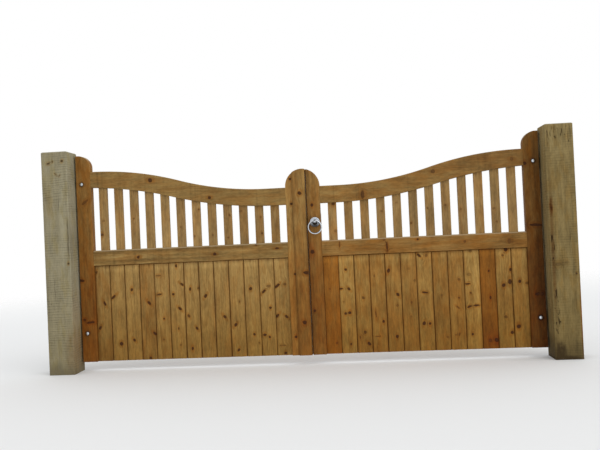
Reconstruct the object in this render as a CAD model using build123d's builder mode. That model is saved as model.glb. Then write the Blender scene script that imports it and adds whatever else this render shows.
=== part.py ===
from build123d import *
from math import cos, radians, sin, sqrt
import os

os.makedirs("parts", exist_ok=True)

# A pair of timber swan-neck driveway gates between two square posts, in millimetres.
# Origin: centre of the left post's foot. +X runs across the opening, +Y into the drive
# (the hinge side), +Z up. Leaf sizes are given by "reach", the distance from the middle
# of the opening, so that the right leaf mirrors the left one.

# The opening between the posts, and the posts
OPENING = 2676.0
POST_W = 150.0
POST_PROUD = 20.0
POST_EASE = 5.0

# Leaf frame: heights are counted from the leaf's bottom
LEAF_H = 1208.0
LEAF_THICK = 45.0
GROUND_GAP = 52.0
HANG_GAP = 9.5
HANG_STILE_W = 86.5
HANG_STILE_ROUND = 72.0
ARRIS = 2.0

# Meeting stiles, their shared round head and the cover strip planted on the left one.
# The joint lies to the right of the middle: the left stile's edge has a negative reach.
MEET_REACH = 98.0
HEAD_RISE = 5.0
LEFT_MEET_EDGE = -16.0
MEET_GAP = 8.0
STRIP_W = 74.0
STRIP_THICK = 12.0
STRIP_CHAMFER = 2.5

# Boarding
BOARD_COUNT = 13
BOARD_THICK = 12.0
BOARD_SETBACK = 18.0
VEE_W = 9.0
VEE_DEPTH = 4.5

# Rails
MID_RAIL_BOTTOM_H = 561.0
MID_RAIL_DEPTH = 88.0
MID_RAIL_BEVEL = 9.0
BOTTOM_RAIL_CENTRE_H = 167.0
BOTTOM_RAIL_DEPTH = 90.0
BRACE_W = 90.0

# Swan neck: each edge of the top rail is two equal arcs, level at both ends. The top
# edge runs level for a short way at each end; the under edge runs on into the stile.
NECK_DROP = 150.0
TOP_RAIL_DROP = 97.0
TOP_RAIL_HIGH_DEPTH = 90.0
TOP_RAIL_LOW_DEPTH = 98.0
TOP_EDGE_LOW_LEVEL = 114.0
TOP_EDGE_HIGH_LEVEL = 17.0
UNDER_EDGE_LOW_LEVEL = 77.0
UNDER_EDGE_RUN_ON = 100.0

# Pickets
PICKET_COUNT = 12
PICKET_W = 49.0
PICKET_THICK = 20.0

# Band-and-hook hinges on the back
PIN_R = 8.0
PIN_CLEARANCE = 0.08
PIN_INSET = 16.0
BAND_THICK = 6.0
BAND_H = 40.0
BAND_LENGTH = 400.0
BAND_TIP_R = 12.0
UPPER_BAND_DROP = 168.0
HOOK_PLATE_W = 60.0
HOOK_PLATE_H = 120.0
HOOK_PLATE_INSET = 15.0
HOOK_SHANK_H = 16.0
HOOK_PLAY = 0.5
HOOK_PIN_PROUD = 8.0
HOOK_SCREW_R = 6.0
HOOK_SCREW_PROUD = 3.0
HOOK_SCREW_EDGE = 14.0

# Coach bolts and screws through the bands
BOLT_R = 5.0
BOLT_CLEARANCE = 0.1
BOLT_EDGE = 33.0
BOLT_HEAD_R = 11.0
BOLT_HEAD_PROUD = 5.5
BOLT_HEAD_ROUND = 5.0
WASHER_R = 12.0
WASHER_THICK = 2.0
NUT_R = 9.5
NUT_THICK = 8.0
SCREW_HEAD_R = 7.0
SCREW_HEAD_PROUD = 3.5
SCREW_PITCH = 125.0
SCREW_COUNT = 2

# Ring latch on the right meeting stile
RING_REACH = 64.0
RING_H = 756.0
RING_BAR_R = 4.5
RING_R = 36.5
RING_DROP = 29.0
RING_STANDOFF = 22.0
HUB_R = 11.0
HUB_LENGTH = 23.5
HUB_CHAMFER = 1.5
ROSE_R = 28.0
ROSE_THICK = 4.0
RUNNING_GAP = 0.3
SPINDLE_R = 6.0
LATCH_PLATE_THICK = 3.0
LATCH_PLATE_W = 48.0
LATCH_PLATE_H = 72.0
LATCH_PLATE_DROP = 24.0
LATCH_PLAY = 0.8
FINGER_ARM = 20.0
FINGER_TIP_R = 4.0
FINGER_ANGLE = 15.0
FINGER_THICK = 8.0
FINGER_BOSS_R = 9.0
BAR_THICK = 6.0
BAR_H = 22.0
BAR_LIFT_GAP = 1.0
BAR_PIVOT_REACH = 86.0
BAR_OVERHANG = 5.0
PIVOT_R = 5.0
PIVOT_HEAD_R = 8.0
PIVOT_HEAD_THICK = 3.0
CATCH_EDGE_GAP = 6.0
CATCH_PLATE_W = 50.0
CATCH_PLATE_H = 34.0
CATCH_NOSE_OVERHANG = 6.1
CATCH_NOSE_ROOT = 46.0
CATCH_NOSE_H = 10.0
CATCH_NOSE_DEPTH = 15.0
CATCH_CLEARANCE = 0.3

# Places worked out from the sizes above
POST_H = GROUND_GAP + LEAF_H + POST_PROUD
HALF_OPENING = OPENING / 2
CENTRE_X = POST_W / 2 + HALF_OPENING
HANG_EDGE = HALF_OPENING - HANG_GAP
PANEL_REACH = HANG_EDGE - HANG_STILE_W
RIGHT_MEET_EDGE = MEET_GAP - LEFT_MEET_EDGE
BOARD_COVER = (PANEL_REACH - MEET_REACH) / BOARD_COUNT
TOP_EDGE_HIGH_H = LEAF_H - TOP_RAIL_DROP
TOP_EDGE_LOW_H = TOP_EDGE_HIGH_H - NECK_DROP
UNDER_EDGE_HIGH_H = TOP_EDGE_HIGH_H - TOP_RAIL_HIGH_DEPTH
UNDER_EDGE_LOW_H = TOP_EDGE_LOW_H - TOP_RAIL_LOW_DEPTH
TOP_EDGE_LOW_REACH = MEET_REACH + TOP_EDGE_LOW_LEVEL
TOP_EDGE_HIGH_REACH = PANEL_REACH - TOP_EDGE_HIGH_LEVEL
UNDER_EDGE_LOW_REACH = MEET_REACH + UNDER_EDGE_LOW_LEVEL
UNDER_EDGE_HIGH_REACH = PANEL_REACH + UNDER_EDGE_RUN_ON
HEAD_CENTRE_H = TOP_EDGE_LOW_H + HEAD_RISE
UPPER_BAND_H = LEAF_H - UPPER_BAND_DROP
LOWER_BAND_H = BOTTOM_RAIL_CENTRE_H
LEAF_BACK = POST_W / 2
LEAF_FRONT = LEAF_BACK - LEAF_THICK
BOARD_FRONT = LEAF_FRONT + BOARD_SETBACK
BOARD_BACK = BOARD_FRONT + BOARD_THICK
MID_RAIL_TOP_H = MID_RAIL_BOTTOM_H + MID_RAIL_DEPTH
PICKET_BACK = LEAF_BACK - (LEAF_THICK - PICKET_THICK) / 2
PIN_REACH = HALF_OPENING - PIN_INSET
EYE_R = PIN_R + PIN_CLEARANCE + BAND_THICK
PIN_Y = LEAF_BACK + EYE_R
BOLT_REACH = HANG_EDGE - BOLT_EDGE
BAND_BACK = LEAF_BACK + BAND_THICK
RING_Z = GROUND_GAP + RING_H
BAR_UNDER_Z = RING_Z + FINGER_BOSS_R + BAR_LIFT_GAP
PIVOT_Z = BAR_UNDER_Z + BAR_H / 2
LATCH_FACE = LEAF_BACK + LATCH_PLATE_THICK
BAR_BACK = LATCH_FACE + LATCH_PLAY + BAR_THICK


def upright(y):
    """Plane facing the road at depth y; an extrusion from it runs towards the road."""
    return Plane.XZ.offset(-y)


def place(side, reach):
    """X of a point at this distance from the middle of the opening."""
    return CENTRE_X + side * reach


def point(side, reach, height):
    """Point on an upright plane, with its height counted from the leaf's bottom."""
    return (place(side, reach), GROUND_GAP + height)


def span(side, reach_a, reach_b):
    """Smallest X and width of the stretch between two reaches."""
    xs = sorted((place(side, reach_a), place(side, reach_b)))
    return xs[0], xs[1] - xs[0]


def head_height(reach):
    """Height of the round head over the meeting stiles."""
    return HEAD_CENTRE_H + sqrt(MEET_REACH ** 2 - reach ** 2)


def swan_neck(side, low_reach, high_reach, low_h, high_h):
    """Draw the S of two equal arcs in the active line, from its low to its high end."""
    run, rise = high_reach - low_reach, high_h - low_h
    radius = (run ** 2 + rise ** 2) / (4 * rise)
    half_chord = run / 4
    sag = radius - sqrt(radius ** 2 - half_chord ** 2)
    middle = point(side, low_reach + run / 2, low_h + rise / 2)
    ThreePointArc(
        point(side, low_reach, low_h),
        point(side, low_reach + half_chord, low_h + sag),
        middle,
    )
    ThreePointArc(
        middle,
        point(side, high_reach - half_chord, high_h - sag),
        point(side, high_reach, high_h),
    )


def export(part, name):
    """Label a finished piece and write it to parts/."""
    part.label = name
    export_step(part, f"parts/{name}.step")


def make_post(name, x):
    with BuildPart() as post:
        with BuildSketch(Plane.XY):
            with Locations((x, 0)):
                Rectangle(POST_W, POST_W)
        extrude(amount=POST_H)
        chamfer(post.faces().sort_by(Axis.Z)[-1].edges(), length=POST_EASE)
    export(post.part, name)


def make_hook(name, side, band_centre_h):
    """Plate on the back of the post with a shank that carries the hinge pin."""
    eye_bottom = GROUND_GAP + band_centre_h - BAND_H / 2
    shank_bottom = eye_bottom - HOOK_PLAY - HOOK_SHANK_H
    plate_x, plate_w = span(
        side, HALF_OPENING + HOOK_PLATE_INSET, HALF_OPENING + HOOK_PLATE_INSET + HOOK_PLATE_W
    )
    plate_z = shank_bottom + HOOK_SHANK_H / 2
    shank_x, shank_w = span(side, PIN_REACH, HALF_OPENING + HOOK_PLATE_INSET + HOOK_PLATE_W / 2)
    with BuildPart() as hook:
        with BuildSketch(upright(BAND_BACK)):
            with Locations((plate_x + plate_w / 2, plate_z)):
                Rectangle(HOOK_PLATE_W, HOOK_PLATE_H)
        extrude(amount=BAND_THICK)
        with BuildSketch(Plane.XY.offset(shank_bottom)):
            with Locations((shank_x, BAND_BACK)):
                Rectangle(shank_w, PIN_Y + PIN_R - BAND_BACK, align=(Align.MIN, Align.MIN))
            with Locations((place(side, PIN_REACH), PIN_Y)):
                Circle(PIN_R)
        extrude(amount=HOOK_SHANK_H)
        with BuildSketch(Plane.XY.offset(shank_bottom + HOOK_SHANK_H)):
            with Locations((place(side, PIN_REACH), PIN_Y)):
                Circle(PIN_R)
        extrude(amount=HOOK_PLAY + BAND_H + HOOK_PIN_PROUD)
        with BuildSketch(upright(BAND_BACK + HOOK_SCREW_PROUD)):
            with Locations((plate_x + plate_w / 2, plate_z)):
                with GridLocations(
                    HOOK_PLATE_W - 2 * HOOK_SCREW_EDGE, HOOK_PLATE_H - 2 * HOOK_SCREW_EDGE, 2, 2
                ):
                    Circle(HOOK_SCREW_R)
        extrude(amount=HOOK_SCREW_PROUD)
    export(hook.part, name)


def make_hanging_stile(name, side):
    shoulder = LEAF_H - HANG_STILE_ROUND
    arc_end = PANEL_REACH + HANG_STILE_ROUND
    bend = HANG_STILE_ROUND * (1 - sin(radians(45)))
    with BuildPart() as stile:
        with BuildSketch(upright(LEAF_BACK)):
            with BuildLine():
                Polyline(
                    point(side, PANEL_REACH, shoulder),
                    point(side, PANEL_REACH, 0),
                    point(side, HANG_EDGE, 0),
                    point(side, HANG_EDGE, LEAF_H),
                    point(side, arc_end, LEAF_H),
                )
                ThreePointArc(
                    point(side, arc_end, LEAF_H),
                    point(side, PANEL_REACH + bend, LEAF_H - bend),
                    point(side, PANEL_REACH, shoulder),
                )
            make_face()
        extrude(amount=LEAF_THICK)
        with BuildSketch(upright(LEAF_BACK)):
            with Locations(
                point(side, BOLT_REACH, UPPER_BAND_H), point(side, BOLT_REACH, LOWER_BAND_H)
            ):
                Circle(BOLT_R + BOLT_CLEARANCE)
        extrude(amount=LEAF_THICK, mode=Mode.SUBTRACT)
        front = stile.faces().sort_by(Axis.Y)[0].outer_wire().edges()
        chamfer(front.filter_by(Axis.Z), length=ARRIS)
    export(stile.part, name)


def make_meeting_stile(name, side, edge_reach, bored):
    with BuildPart() as stile:
        with BuildSketch(upright(LEAF_BACK)):
            with BuildLine():
                Polyline(
                    point(side, edge_reach, head_height(edge_reach)),
                    point(side, edge_reach, 0),
                    point(side, MEET_REACH, 0),
                    point(side, MEET_REACH, HEAD_CENTRE_H),
                )
                middle = (edge_reach + MEET_REACH) / 2
                ThreePointArc(
                    point(side, MEET_REACH, HEAD_CENTRE_H),
                    point(side, middle, head_height(middle)),
                    point(side, edge_reach, head_height(edge_reach)),
                )
            make_face()
        extrude(amount=LEAF_THICK)
        if bored:
            with BuildSketch(upright(LEAF_BACK)):
                with Locations(point(side, RING_REACH, RING_H)):
                    Circle(SPINDLE_R + PIN_CLEARANCE)
            extrude(amount=LEAF_THICK, mode=Mode.SUBTRACT)
        front = stile.faces().sort_by(Axis.Y)[0].outer_wire().edges()
        chamfer(front.filter_by(Axis.Z), length=ARRIS)
    export(stile.part, name)


def make_cover_strip(name, side):
    """Strip planted on the front of the meeting stile, flush with its edge."""
    free_edge = LEFT_MEET_EDGE
    fixed_edge = free_edge + STRIP_W
    with BuildPart() as strip:
        with BuildSketch(upright(LEAF_FRONT)):
            with BuildLine():
                Polyline(
                    point(side, free_edge, head_height(free_edge)),
                    point(side, free_edge, 0),
                    point(side, fixed_edge, 0),
                    point(side, fixed_edge, head_height(fixed_edge)),
                )
                middle = (free_edge + fixed_edge) / 2
                ThreePointArc(
                    point(side, fixed_edge, head_height(fixed_edge)),
                    point(side, middle, head_height(middle)),
                    point(side, free_edge, head_height(free_edge)),
                )
            make_face()
        extrude(amount=STRIP_THICK)
        front = strip.faces().sort_by(Axis.Y)[0].outer_wire().edges()
        chamfer(front.filter_by(Axis.Z), length=STRIP_CHAMFER)
    export(strip.part, name)


def make_top_rail(name, side):
    """Swan-neck rail, cut to the panel's width between the stiles."""
    panel_x, panel_w = span(side, MEET_REACH, PANEL_REACH)
    with BuildPart() as rail:
        with BuildSketch(upright(LEAF_BACK)):
            with BuildLine():
                Line(
                    point(side, MEET_REACH, UNDER_EDGE_LOW_H),
                    point(side, UNDER_EDGE_LOW_REACH, UNDER_EDGE_LOW_H),
                )
                swan_neck(
                    side,
                    UNDER_EDGE_LOW_REACH,
                    UNDER_EDGE_HIGH_REACH,
                    UNDER_EDGE_LOW_H,
                    UNDER_EDGE_HIGH_H,
                )
                Polyline(
                    point(side, UNDER_EDGE_HIGH_REACH, UNDER_EDGE_HIGH_H),
                    point(side, UNDER_EDGE_HIGH_REACH, TOP_EDGE_HIGH_H),
                    point(side, TOP_EDGE_HIGH_REACH, TOP_EDGE_HIGH_H),
                )
                swan_neck(
                    side,
                    TOP_EDGE_LOW_REACH,
                    TOP_EDGE_HIGH_REACH,
                    TOP_EDGE_LOW_H,
                    TOP_EDGE_HIGH_H,
                )
                Polyline(
                    point(side, TOP_EDGE_LOW_REACH, TOP_EDGE_LOW_H),
                    point(side, MEET_REACH, TOP_EDGE_LOW_H),
                    point(side, MEET_REACH, UNDER_EDGE_LOW_H),
                )
            make_face()
            with Locations((panel_x, 0)):
                Rectangle(
                    panel_w, 2 * POST_H, align=(Align.MIN, Align.CENTER), mode=Mode.INTERSECT
                )
        extrude(amount=LEAF_THICK)
        front = rail.faces().sort_by(Axis.Y)[0].outer_wire().edges()
        chamfer(front - front.filter_by(Axis.Z), length=ARRIS)
    export(rail.part, name)


def make_pickets(name, side):
    """Pickets on the middle rail, their heads cut to the top rail's under edge."""
    gap = (PANEL_REACH - MEET_REACH - PICKET_COUNT * PICKET_W) / (PICKET_COUNT + 1)
    panel_x, panel_w = span(side, MEET_REACH, PANEL_REACH)
    outer_x, outer_w = span(side, PANEL_REACH, UNDER_EDGE_HIGH_REACH)
    with BuildPart() as pickets:
        with BuildSketch(upright(PICKET_BACK)):
            with BuildLine():
                Line(
                    point(side, MEET_REACH, UNDER_EDGE_LOW_H),
                    point(side, UNDER_EDGE_LOW_REACH, UNDER_EDGE_LOW_H),
                )
                swan_neck(
                    side,
                    UNDER_EDGE_LOW_REACH,
                    UNDER_EDGE_HIGH_REACH,
                    UNDER_EDGE_LOW_H,
                    UNDER_EDGE_HIGH_H,
                )
                Polyline(
                    point(side, UNDER_EDGE_HIGH_REACH, UNDER_EDGE_HIGH_H),
                    point(side, UNDER_EDGE_HIGH_REACH, MID_RAIL_TOP_H),
                    point(side, MEET_REACH, MID_RAIL_TOP_H),
                    point(side, MEET_REACH, UNDER_EDGE_LOW_H),
                )
            make_face()
            with Locations((outer_x, 0)):
                Rectangle(
                    outer_w, 2 * POST_H, align=(Align.MIN, Align.CENTER), mode=Mode.SUBTRACT
                )
            with Locations((panel_x + panel_w / 2, 0)):
                with GridLocations(gap + PICKET_W, 0, PICKET_COUNT + 1, 1):
                    Rectangle(gap, 2 * POST_H, mode=Mode.SUBTRACT)
        extrude(amount=PICKET_THICK)
    export(pickets.part, name)


def make_mid_rail(name, side):
    """Middle rail with weathered top arrises."""
    rail_x, rail_w = span(side, MEET_REACH, PANEL_REACH)
    bottom = GROUND_GAP + MID_RAIL_BOTTOM_H
    top = GROUND_GAP + MID_RAIL_TOP_H
    with BuildPart() as rail:
        with BuildSketch(Plane.YZ.offset(rail_x)):
            with BuildLine():
                Polyline(
                    (LEAF_FRONT, bottom),
                    (LEAF_BACK, bottom),
                    (LEAF_BACK, top - MID_RAIL_BEVEL),
                    (LEAF_BACK - MID_RAIL_BEVEL, top),
                    (LEAF_FRONT + MID_RAIL_BEVEL, top),
                    (LEAF_FRONT, top - MID_RAIL_BEVEL),
                    close=True,
                )
            make_face()
        extrude(amount=rail_w)
    export(rail.part, name)


def make_bottom_rail(name, side):
    """Ledge behind the foot of the boards."""
    rail_x, rail_w = span(side, MEET_REACH, PANEL_REACH)
    with BuildPart() as rail:
        with BuildSketch(upright(LEAF_BACK)):
            with Locations((rail_x, GROUND_GAP + BOTTOM_RAIL_CENTRE_H)):
                Rectangle(rail_w, BOTTOM_RAIL_DEPTH, align=(Align.MIN, Align.CENTER))
        extrude(amount=LEAF_BACK - BOARD_BACK)
    export(rail.part, name)


def make_brace(name, side):
    """Brace behind the boards, rising from the hanging foot to the meeting stile."""
    low = BOTTOM_RAIL_CENTRE_H + BOTTOM_RAIL_DEPTH / 2
    rise = MID_RAIL_BOTTOM_H - low
    run = PANEL_REACH - MEET_REACH
    slant = sqrt(run ** 2 + rise ** 2)
    half_up = BRACE_W / 2 * slant / run
    half_along = BRACE_W / 2 * slant / rise
    with BuildPart() as brace:
        with BuildSketch(upright(LEAF_BACK)):
            with BuildLine():
                Polyline(
                    point(side, PANEL_REACH, low),
                    point(side, PANEL_REACH, low + half_up),
                    point(side, MEET_REACH + half_along, MID_RAIL_BOTTOM_H),
                    point(side, MEET_REACH, MID_RAIL_BOTTOM_H),
                    point(side, MEET_REACH, MID_RAIL_BOTTOM_H - half_up),
                    point(side, PANEL_REACH - half_along, low),
                    close=True,
                )
            make_face()
        extrude(amount=LEAF_BACK - BOARD_BACK)
    export(brace.part, name)


def make_boarding(name, side):
    """Matchboards as one panel, with a vee down each joint on the road side."""
    board_x, board_w = span(side, MEET_REACH, PANEL_REACH)
    with BuildPart() as boarding:
        with BuildSketch(Plane.XY.offset(GROUND_GAP)):
            with Locations((board_x, BOARD_FRONT)):
                Rectangle(board_w, BOARD_THICK, align=(Align.MIN, Align.MIN))
            with Locations((board_x + board_w / 2, BOARD_FRONT)):
                with GridLocations(BOARD_COVER, 0, BOARD_COUNT - 1, 1):
                    Polygon(
                        (-VEE_W / 2, 0), (VEE_W / 2, 0), (0, VEE_DEPTH),
                        align=None, mode=Mode.SUBTRACT,
                    )
        extrude(amount=MID_RAIL_BOTTOM_H)
    export(boarding.part, name)


def make_band(name, side, centre_h):
    """Strap across the back of the leaf, ending in an eye round the hook's pin."""
    strap_x, strap_w = span(side, PIN_REACH - BAND_LENGTH, PIN_REACH)
    with BuildPart() as band:
        with BuildSketch(Plane.XY.offset(GROUND_GAP + centre_h - BAND_H / 2)):
            with Locations((strap_x, LEAF_BACK)):
                Rectangle(strap_w, BAND_THICK, align=(Align.MIN, Align.MIN))
            with Locations((place(side, PIN_REACH), PIN_Y)):
                Circle(EYE_R)
                Circle(PIN_R + PIN_CLEARANCE, mode=Mode.SUBTRACT)
        extrude(amount=BAND_H)
        tip = band.faces().filter_by(Axis.X).sort_by(Axis.X)[0 if side > 0 else -1]
        fillet(tip.edges().filter_by(Axis.Y), radius=BAND_TIP_R)
        with BuildSketch(upright(BAND_BACK)):
            with Locations(point(side, BOLT_REACH, centre_h)):
                Circle(BOLT_R + BOLT_CLEARANCE)
        extrude(amount=BAND_THICK, mode=Mode.SUBTRACT)
    export(band.part, name)


def make_bolts(name, side, centre_h):
    """Coach bolt through stile and band, and the screws that hold the band's arm."""
    with BuildPart() as bolts:
        with BuildSketch(upright(BAND_BACK)):
            with Locations(point(side, BOLT_REACH, centre_h)):
                Circle(BOLT_R)
        extrude(amount=BAND_THICK + LEAF_THICK)
        with BuildSketch(upright(LEAF_FRONT)):
            with Locations(point(side, BOLT_REACH, centre_h)):
                Circle(BOLT_HEAD_R)
        extrude(amount=BOLT_HEAD_PROUD)
        fillet(bolts.faces().sort_by(Axis.Y)[0].edges(), radius=BOLT_HEAD_ROUND)
        with BuildSketch(upright(BAND_BACK + WASHER_THICK)):
            with Locations(point(side, BOLT_REACH, centre_h)):
                Circle(WASHER_R)
        extrude(amount=WASHER_THICK)
        with BuildSketch(upright(BAND_BACK + WASHER_THICK + NUT_THICK)):
            with Locations(point(side, BOLT_REACH, centre_h)):
                RegularPolygon(NUT_R, 6)
        extrude(amount=NUT_THICK)
        for index in range(1, SCREW_COUNT + 1):
            with BuildSketch(upright(BAND_BACK + SCREW_HEAD_PROUD)):
                with Locations(point(side, BOLT_REACH - index * SCREW_PITCH, centre_h)):
                    Circle(SCREW_HEAD_R)
            extrude(amount=SCREW_HEAD_PROUD)
    export(bolts.part, name)


def make_rose(name, side):
    with BuildPart() as rose:
        with BuildSketch(upright(LEAF_FRONT)):
            with Locations(point(side, RING_REACH, RING_H)):
                Circle(ROSE_R)
                Circle(SPINDLE_R + PIN_CLEARANCE, mode=Mode.SUBTRACT)
        extrude(amount=ROSE_THICK)
        rim = rose.faces().sort_by(Axis.Y)[0].edges().sort_by(SortBy.LENGTH)[-1]
        chamfer(rim, length=ROSE_THICK / 2)
    export(rose.part, name)


def make_ring_handle(name, side):
    """Ring hanging from its hub on the road side."""
    hub_back = LEAF_FRONT - ROSE_THICK - RUNNING_GAP
    with BuildPart() as ring:
        with BuildSketch(upright(hub_back)):
            with Locations(point(side, RING_REACH, RING_H)):
                Circle(HUB_R)
        extrude(amount=HUB_LENGTH)
        chamfer(ring.faces().sort_by(Axis.Y)[0].edges(), length=HUB_CHAMFER)
        ring_x, ring_z = point(side, RING_REACH, RING_H - RING_DROP)
        ring_y = LEAF_FRONT - RING_STANDOFF
        with BuildSketch(Plane.YZ.offset(ring_x)):
            with Locations((ring_y, ring_z + RING_R)):
                Circle(RING_BAR_R)
        revolve(axis=Axis((ring_x, ring_y, ring_z), (0, 1, 0)))
    export(ring.part, name)


def make_spindle(name, side):
    """Spindle through the stile, with the finger that lifts the latch bar."""
    hub_back = LEAF_FRONT - ROSE_THICK - RUNNING_GAP
    finger_front = LATCH_FACE + LATCH_PLAY / 2
    finger_back = finger_front + FINGER_THICK
    arm_mid = FINGER_ARM / 2
    tilt = radians(FINGER_ANGLE)
    with BuildPart() as spindle:
        with BuildSketch(upright(finger_back)):
            with Locations(point(side, RING_REACH, RING_H)):
                Circle(SPINDLE_R)
        extrude(amount=finger_back - hub_back)
        with BuildSketch(upright(finger_back)):
            with Locations(point(side, RING_REACH, RING_H)):
                Circle(FINGER_BOSS_R)
            with Locations(
                point(side, RING_REACH - arm_mid * cos(tilt), RING_H + arm_mid * sin(tilt))
            ):
                SlotCenterToCenter(FINGER_ARM, 2 * FINGER_TIP_R, rotation=-side * FINGER_ANGLE)
        extrude(amount=FINGER_THICK)
    export(spindle.part, name)


def make_latch_plate(name, side):
    """Back plate with the stud on which the latch bar turns."""
    plate_x = place(side, (RING_REACH + BAR_PIVOT_REACH) / 2)
    plate_z = RING_Z - LATCH_PLATE_DROP + LATCH_PLATE_H / 2
    head_front = BAR_BACK + LATCH_PLAY
    pivot = (place(side, BAR_PIVOT_REACH), PIVOT_Z)
    with BuildPart() as plate:
        with BuildSketch(upright(LATCH_FACE)):
            with Locations((plate_x, plate_z)):
                Rectangle(LATCH_PLATE_W, LATCH_PLATE_H)
            with Locations(point(side, RING_REACH, RING_H)):
                Circle(SPINDLE_R + PIN_CLEARANCE, mode=Mode.SUBTRACT)
        extrude(amount=LATCH_PLATE_THICK)
        with BuildSketch(upright(head_front)):
            with Locations(pivot):
                Circle(PIVOT_R)
        extrude(amount=head_front - LATCH_FACE)
        with BuildSketch(upright(head_front + PIVOT_HEAD_THICK)):
            with Locations(pivot):
                Circle(PIVOT_HEAD_R)
        extrude(amount=PIVOT_HEAD_THICK)
    export(plate.part, name)


def make_latch_bar(name, side):
    """Bar that the finger lifts off the catch."""
    bar_x, bar_w = span(side, RIGHT_MEET_EDGE - BAR_OVERHANG, BAR_PIVOT_REACH)
    with BuildPart() as bar:
        with BuildSketch(upright(BAR_BACK)):
            with Locations((bar_x, PIVOT_Z)):
                Rectangle(bar_w, BAR_H, align=(Align.MIN, Align.CENTER))
            with Locations((place(side, BAR_PIVOT_REACH), PIVOT_Z)):
                Circle(BAR_H / 2)
                Circle(PIVOT_R + PIN_CLEARANCE, mode=Mode.SUBTRACT)
        extrude(amount=BAR_THICK)
    export(bar.part, name)


def make_catch(name, side):
    """Catch on the back of the other leaf, its nose under the bar's tip."""
    nose_top = BAR_UNDER_Z - CATCH_CLEARANCE
    plate_edge = LEFT_MEET_EDGE + CATCH_EDGE_GAP
    plate_x, _ = span(side, plate_edge, plate_edge + CATCH_PLATE_W)
    nose_x, nose_w = span(
        side, LEFT_MEET_EDGE - CATCH_NOSE_OVERHANG, LEFT_MEET_EDGE + CATCH_NOSE_ROOT
    )
    with BuildPart() as catch:
        with BuildSketch(upright(LATCH_FACE)):
            with Locations((plate_x, nose_top)):
                Rectangle(CATCH_PLATE_W, CATCH_PLATE_H, align=(Align.MIN, Align.MAX))
        extrude(amount=LATCH_PLATE_THICK)
        with BuildSketch(upright(LEAF_BACK + CATCH_NOSE_DEPTH)):
            with Locations((nose_x, nose_top)):
                Rectangle(nose_w, CATCH_NOSE_H, align=(Align.MIN, Align.MAX))
        extrude(amount=CATCH_NOSE_DEPTH)
    export(catch.part, name)


make_post("left_post", 0.0)
make_post("right_post", 2 * CENTRE_X)

for leaf, side in (("left", -1), ("right", 1)):
    meet_edge = LEFT_MEET_EDGE if side < 0 else RIGHT_MEET_EDGE
    make_hanging_stile(f"{leaf}_hanging_stile", side)
    make_meeting_stile(f"{leaf}_meeting_stile", side, meet_edge, bored=side > 0)
    make_top_rail(f"{leaf}_top_rail", side)
    make_pickets(f"{leaf}_pickets", side)
    make_mid_rail(f"{leaf}_mid_rail", side)
    make_boarding(f"{leaf}_boarding", side)
    make_bottom_rail(f"{leaf}_bottom_rail", side)
    make_brace(f"{leaf}_brace", side)
    for level, band_h in (("upper", UPPER_BAND_H), ("lower", LOWER_BAND_H)):
        make_hook(f"{leaf}_{level}_hook", side, band_h)
        make_band(f"{leaf}_{level}_band", side, band_h)
        make_bolts(f"{leaf}_{level}_bolts", side, band_h)

make_cover_strip("cover_strip", -1)
make_catch("latch_catch", -1)
make_rose("ring_rose", 1)
make_ring_handle("ring_handle", 1)
make_spindle("ring_spindle", 1)
make_latch_plate("latch_plate", 1)
make_latch_bar("latch_bar", 1)
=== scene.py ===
"""Looks of a pair of timber swan-neck driveway gates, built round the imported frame.

Places are in the row frame: origin at the foot of the left post, +X across the opening,
+Y into the drive (the hinge side), +Z up. Sizes are written in millimetres and become
metres only when a mesh is made. A reach is a distance from the middle of the opening, and
a height is counted from the bottom of a leaf.
"""

import logging
import math
from collections.abc import Callable, Sequence
from dataclasses import dataclass, field, replace
from enum import Enum
from functools import partial

import bpy
import numpy as np
from mathutils import Matrix

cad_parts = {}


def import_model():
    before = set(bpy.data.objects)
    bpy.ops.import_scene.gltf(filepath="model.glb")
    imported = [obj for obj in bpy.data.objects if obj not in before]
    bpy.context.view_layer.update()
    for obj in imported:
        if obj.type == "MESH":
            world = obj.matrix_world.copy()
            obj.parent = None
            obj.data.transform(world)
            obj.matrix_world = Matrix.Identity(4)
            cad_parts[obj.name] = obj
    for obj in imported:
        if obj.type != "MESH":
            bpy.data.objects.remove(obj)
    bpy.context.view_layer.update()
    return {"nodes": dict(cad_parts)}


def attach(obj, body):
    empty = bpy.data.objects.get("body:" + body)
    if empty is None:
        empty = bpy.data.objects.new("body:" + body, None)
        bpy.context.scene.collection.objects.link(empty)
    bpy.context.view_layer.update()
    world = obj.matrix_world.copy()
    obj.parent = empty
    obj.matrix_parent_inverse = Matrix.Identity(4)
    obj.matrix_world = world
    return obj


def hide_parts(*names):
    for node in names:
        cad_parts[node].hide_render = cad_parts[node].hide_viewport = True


Array = np.ndarray
Places = tuple[Array, Array, Array]
Form = Callable[[Array, Array, Array], Places]
Socket = bpy.types.NodeSocket
Piece = bpy.types.Object
Pair = tuple[float, float]
Triple = tuple[float, float, float]
Colour = Triple

LOG = logging.getLogger("gates")
MM = 0.001
FAR = 99.0  # distance in mm that stands for no joint and no crack
NO_KNOT = 9.0  # place in knot radii that stands for no knot


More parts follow.
